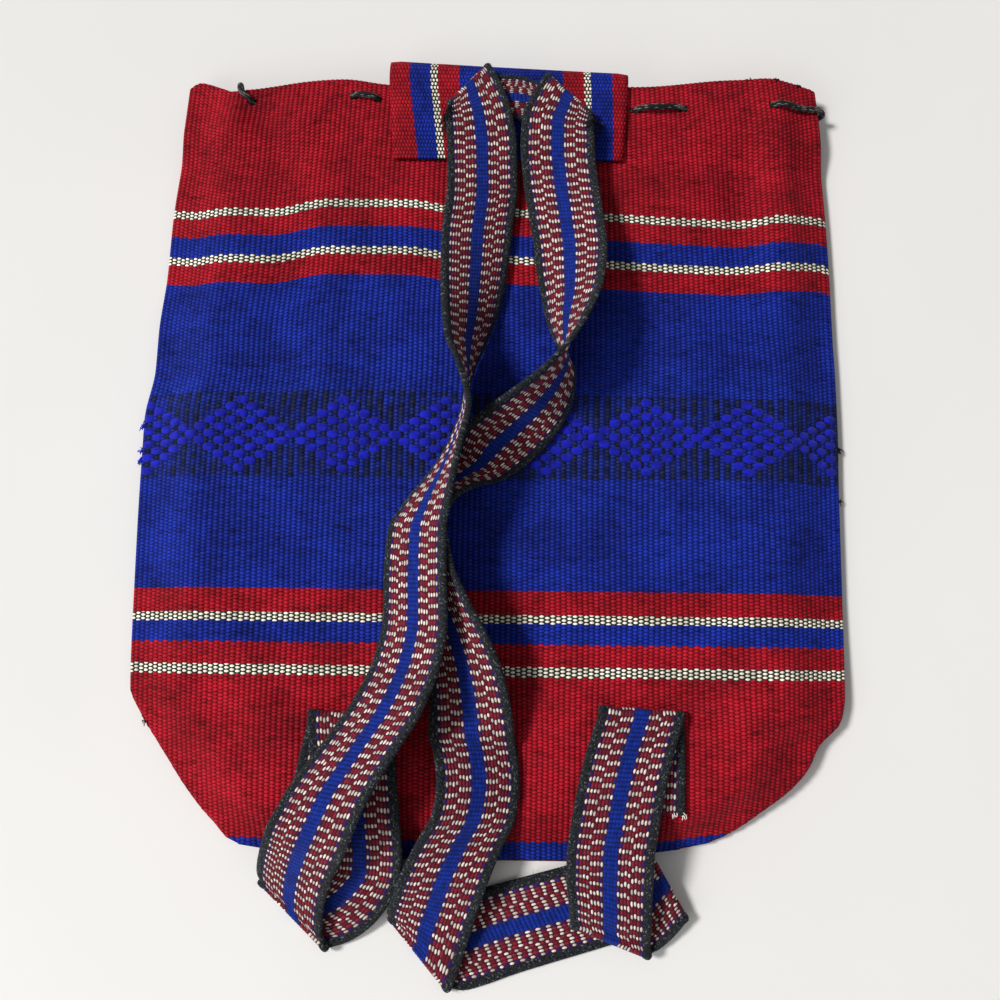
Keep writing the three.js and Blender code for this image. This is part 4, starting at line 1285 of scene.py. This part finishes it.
def add_strap():
    stations = strap_stations()
    section = strap_section()
    surface = Surface()
    rows = []
    for i, (at, centre, across) in enumerate(stations):
        before, after = around(stations, i)
        normal = (after[1] - before[1]).cross(across).normalized()
        lower = [(place, -height) for place, height in reversed(section)]
        ring = []
        for place, height in ((0.0, 0.0), *section, (STRAP_WIDTH, 0.0), *lower):
            point = centre + across / STRAP_WIDTH * (place - STRAP_WIDTH / 2) + normal * height
            ring.append(surface.point(point, (place, at)))
        rows.append(ring)
    surface.grid(rows, flip=True, closed=True)
    for ring, flip in ((rows[0], False), (rows[-1], True)):
        count = len(ring)
        for i in range(count // 2):
            surface.face((ring[i], ring[i + 1], ring[count - i - 1], ring[(count - i) % count]), flip)
    strap = surface.piece("strap_band", strap_material(), "strap_band")
    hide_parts("shoulder_strap")
    return strap, stations


# Drawstring


def braid_relief(turn, length):
    """How far the braid's surface lies below the crowns of its crossing strands."""
    one_way = math.sin(math.tau * (turn * BRAID_STRANDS + length / BRAID_PITCH))
    other_way = math.sin(math.tau * (turn * BRAID_STRANDS - length / BRAID_PITCH))
    return BRAID_RELIEF * (abs(one_way * other_way) - 1)


def add_drawstring(cord_path):
    """The cord along its route, and the plain knot where its ends meet."""
    surface = Surface()
    add_tube(surface, cord_path, CORD_RADIUS, CORD_SIDES, braid_relief)
    turns = []
    for i in range(KNOT_PARTS + 1):
        angle = math.tau * i / KNOT_PARTS * KNOT_LOOPS
        reach = KNOT_RADIUS * (2 + math.cos(angle * KNOT_WAVES)) / 2
        rise = KNOT_RADIUS * math.sin(angle * KNOT_WAVES) / 2
        turns.append(cord_path[0] + Vector((reach * math.cos(angle), reach * math.sin(angle), rise)))
    add_tube(surface, turns, CORD_RADIUS * KNOT_CORD_SHARE, CORD_SIDES, braid_relief)
    braid = surface.piece("drawstring_braid", cord_material(), "cord")
    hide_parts("drawstring")


# Brocade


def float_places():
    """The middle and the level of each float of the diamonds, every other place like a chessboard's."""
    steps = range(-DIAMOND_REACH, DIAMOND_REACH + 1)
    for centre, column, level in itertools.product(BROCADE_CENTRES, steps, steps):
        x = centre + column * FLOAT_WIDTH
        inside = abs(x) + FLOAT_WIDTH / 2 <= half_width_at(x, BROCADE_MIDDLE)
        if inside and abs(column) + abs(level) <= DIAMOND_REACH and (column + level) % 2:
            yield x, level


def add_floats():
    """Raised blue yarn of the diamonds: each passes over about two ribs."""
    surface = Surface()
    shares = [2 * i / FLOAT_PARTS - 1 for i in range(FLOAT_PARTS + 1)]
    for x, level in float_places():
        rib = x / half_width_at(x, BROCADE_MIDDLE) * RIBS / 2
        rows = []
        for up in shares:
            row = []
            for over in shares:
                dome = (1 - up ** 4) * (1 - over ** 4)
                across = over * (1 - FLOAT_ROUND_SIDES * up * up) * FLOAT_OVERLAP
                along = level + up * FLOAT_OVERLAP * (1 - FLOAT_ROUND_ENDS * over * over)
                point_x = x + across * FLOAT_WIDTH
                point_y = BROCADE_MIDDLE + along * FLOAT_HEIGHT
                height = bag_faces(point_x, point_y)[1] - FLOAT_SINK + FLOAT_RISE * dome ** 0.5
                place = (rib + over, level + up / 2 + FLOAT_FIRST_LEVEL)
                row.append(surface.point((point_x, point_y, height), place))
            rows.append(row)
        surface.grid(rows)
    surface.piece("brocade_floats", float_material(), "cloth")


# Tufts of loose yarn. x, y: where each starts, count: its threads, reach: their length, turn: the way they
# point, in degrees from straight right, fan: how far they spread to each side of it.
TUFTS = {
    "black": (
        (47.5, 350.0, 16, 6.0, -60, 70), (48.5, 346.0, 12, 5.0, -80, 60),
        (-23.0, 356.0, 14, 5.5, -90, 40), (-24.0, 351.0, 12, 5.0, -95, 40),
        (-158.5, 60.6, 7, 2.6, 200, 60), (127.0, 379.0, 3, 1.8, 90, 40),
        (140.5, 379.6, 5, 2.2, 90, 50), (153.5, 379.2, 5, 2.4, 90, 50),
        (168.5, 193.3, 9, 3.4, -5, 40), (168.0, 168.0, 5, 2.6, -10, 30),
    ),
    "white": (
        (83.5, 24.0, 6, 2.6, -85, 30), (88.0, 24.5, 6, 2.6, -75, 30),
    ),
    "blue": (
        (-169.0, 201.4, 8, 3.0, 185, 60), (-169.5, 189.0, 8, 3.0, 175, 60),
        (-170.5, 184.0, 10, 3.4, 200, 60),
    ),
}
TUFT_COLOURS = {"black": CORD_BLACK, "white": STRAP_WHITE, "blue": BROCADE_BLUE}
TUFT_SPREAD = 0.65
TUFT_LENGTHS = (0.5, 1.1)
TUFT_SEED = 5
YARN_RADIUS = 0.22
YARN_PARTS = 7
YARN_SIDES = 6
YARN_SLOPE = 0.9
YARN_BEND = 1.2
YARN_LIFTS = (0.2 / 3, 0.8 / 3)
FIBRE_COUNT = 420
FIBRE_SEED = 8
FIBRE_RADIUS = 0.05
FIBRE_REACH = 3.2
FIBRE_LENGTHS = (0.4, 1.0)
FIBRE_STARTS = (0.86, 0.98)
FIBRE_FAN = 1.3
FAR_ABOVE = 200.0
BACK_STEPS = 8


def surface_tree(piece):
    corners = [point.co for point in piece.data.vertices]
    return BVHTree.FromPolygons(corners, [face.vertices for face in piece.data.polygons])


def height_under(trees, x, y):
    """The top of whatever lies at a place, in millimetres."""
    start = placed((x, y, FAR_ABOVE))
    hits = [tree.ray_cast(start, Vector((0, 0, -1)))[0] for tree in trees]
    return max([hit.z / METRES for hit in hits if hit] + [0.0])


def back_on_cloth(trees, x, y, heading):
    """The nearest place behind a thread's start that has cloth under it."""
    for _ in range(BACK_STEPS):
        if height_under(trees, x, y) > CLOTH:
            break
        x -= math.cos(heading)
        y -= math.sin(heading)
    return x, y


def add_thread(surface, trees, start, heading, reach, radius, chance):
    """A thread that leaves its start, rises a little, and lies down on what is under it."""
    bend = chance.uniform(-YARN_BEND, YARN_BEND)
    lift = chance.uniform(*YARN_LIFTS) * reach
    x, y = start
    height = height_under(trees, x, y)
    points = []
    for i in range(YARN_PARTS + 1):
        share = i / YARN_PARTS
        lowest = height_under(trees, x, y)
        height = max(lowest, height - YARN_SLOPE * reach / YARN_PARTS)
        points.append(Vector((x, y, height + radius + lift * math.sin(math.pi * share))))
        angle = heading + bend * share
        x += math.cos(angle) * reach / YARN_PARTS
        y += math.sin(angle) * reach / YARN_PARTS
    add_tube(surface, points, radius, YARN_SIDES)


def add_loose_yarn(trees):
    chance = random.Random(TUFT_SEED)
    for name, tufts in TUFTS.items():
        surface = Surface()
        for x, y, count, reach, turn, fan in tufts:
            for _ in range(count):
                start = (x + chance.gauss(0, TUFT_SPREAD), y + chance.gauss(0, TUFT_SPREAD))
                heading = math.radians(turn + chance.uniform(-fan, fan))
                length = reach * chance.uniform(*TUFT_LENGTHS)
                start = back_on_cloth(trees, *start, heading)
                add_thread(surface, trees, start, heading, length, YARN_RADIUS, chance)
        surface.piece("loose_yarn_" + name, yarn_material("yarn_" + name, TUFT_COLOURS[name]), "cord")


def add_fibres(trees, stations):
    """Short fibres that stand off the strap's dark edges."""
    chance = random.Random(FIBRE_SEED)
    surface = Surface()
    for _ in range(FIBRE_COUNT):
        _, centre, across = chance.choice(stations)
        side = chance.choice((-0.5, 0.5))
        start = centre + across * side * chance.uniform(*FIBRE_STARTS)
        if height_under(trees, start.x, start.y) > start.z + STRAP_EDGE_THICKNESS:
            continue
        heading = math.atan2(across.y * side, across.x * side) + chance.uniform(-FIBRE_FAN, FIBRE_FAN)
        reach = FIBRE_REACH * chance.uniform(*FIBRE_LENGTHS)
        add_thread(surface, trees, (start.x, start.y), heading, reach, FIBRE_RADIUS, chance)
    surface.piece("strap_fibres", yarn_material("strap_fibre", STRAP_GREY), "strap_band")


add_camera()
add_light()
add_floor()
cord_points = [cord_point(place, *point) for place, *points in DRAWSTRING_ROUTE for point in points]
cord_path = curve_through(cord_points, CORD_STEP)
bag = add_bag(cord_path)
flap = add_flap()
strap, stations = add_strap()
add_drawstring(cord_path)
add_floats()
trees = [surface_tree(piece) for piece in (bag, flap, strap)]
add_loose_yarn(trees)
add_fibres(trees, stations)
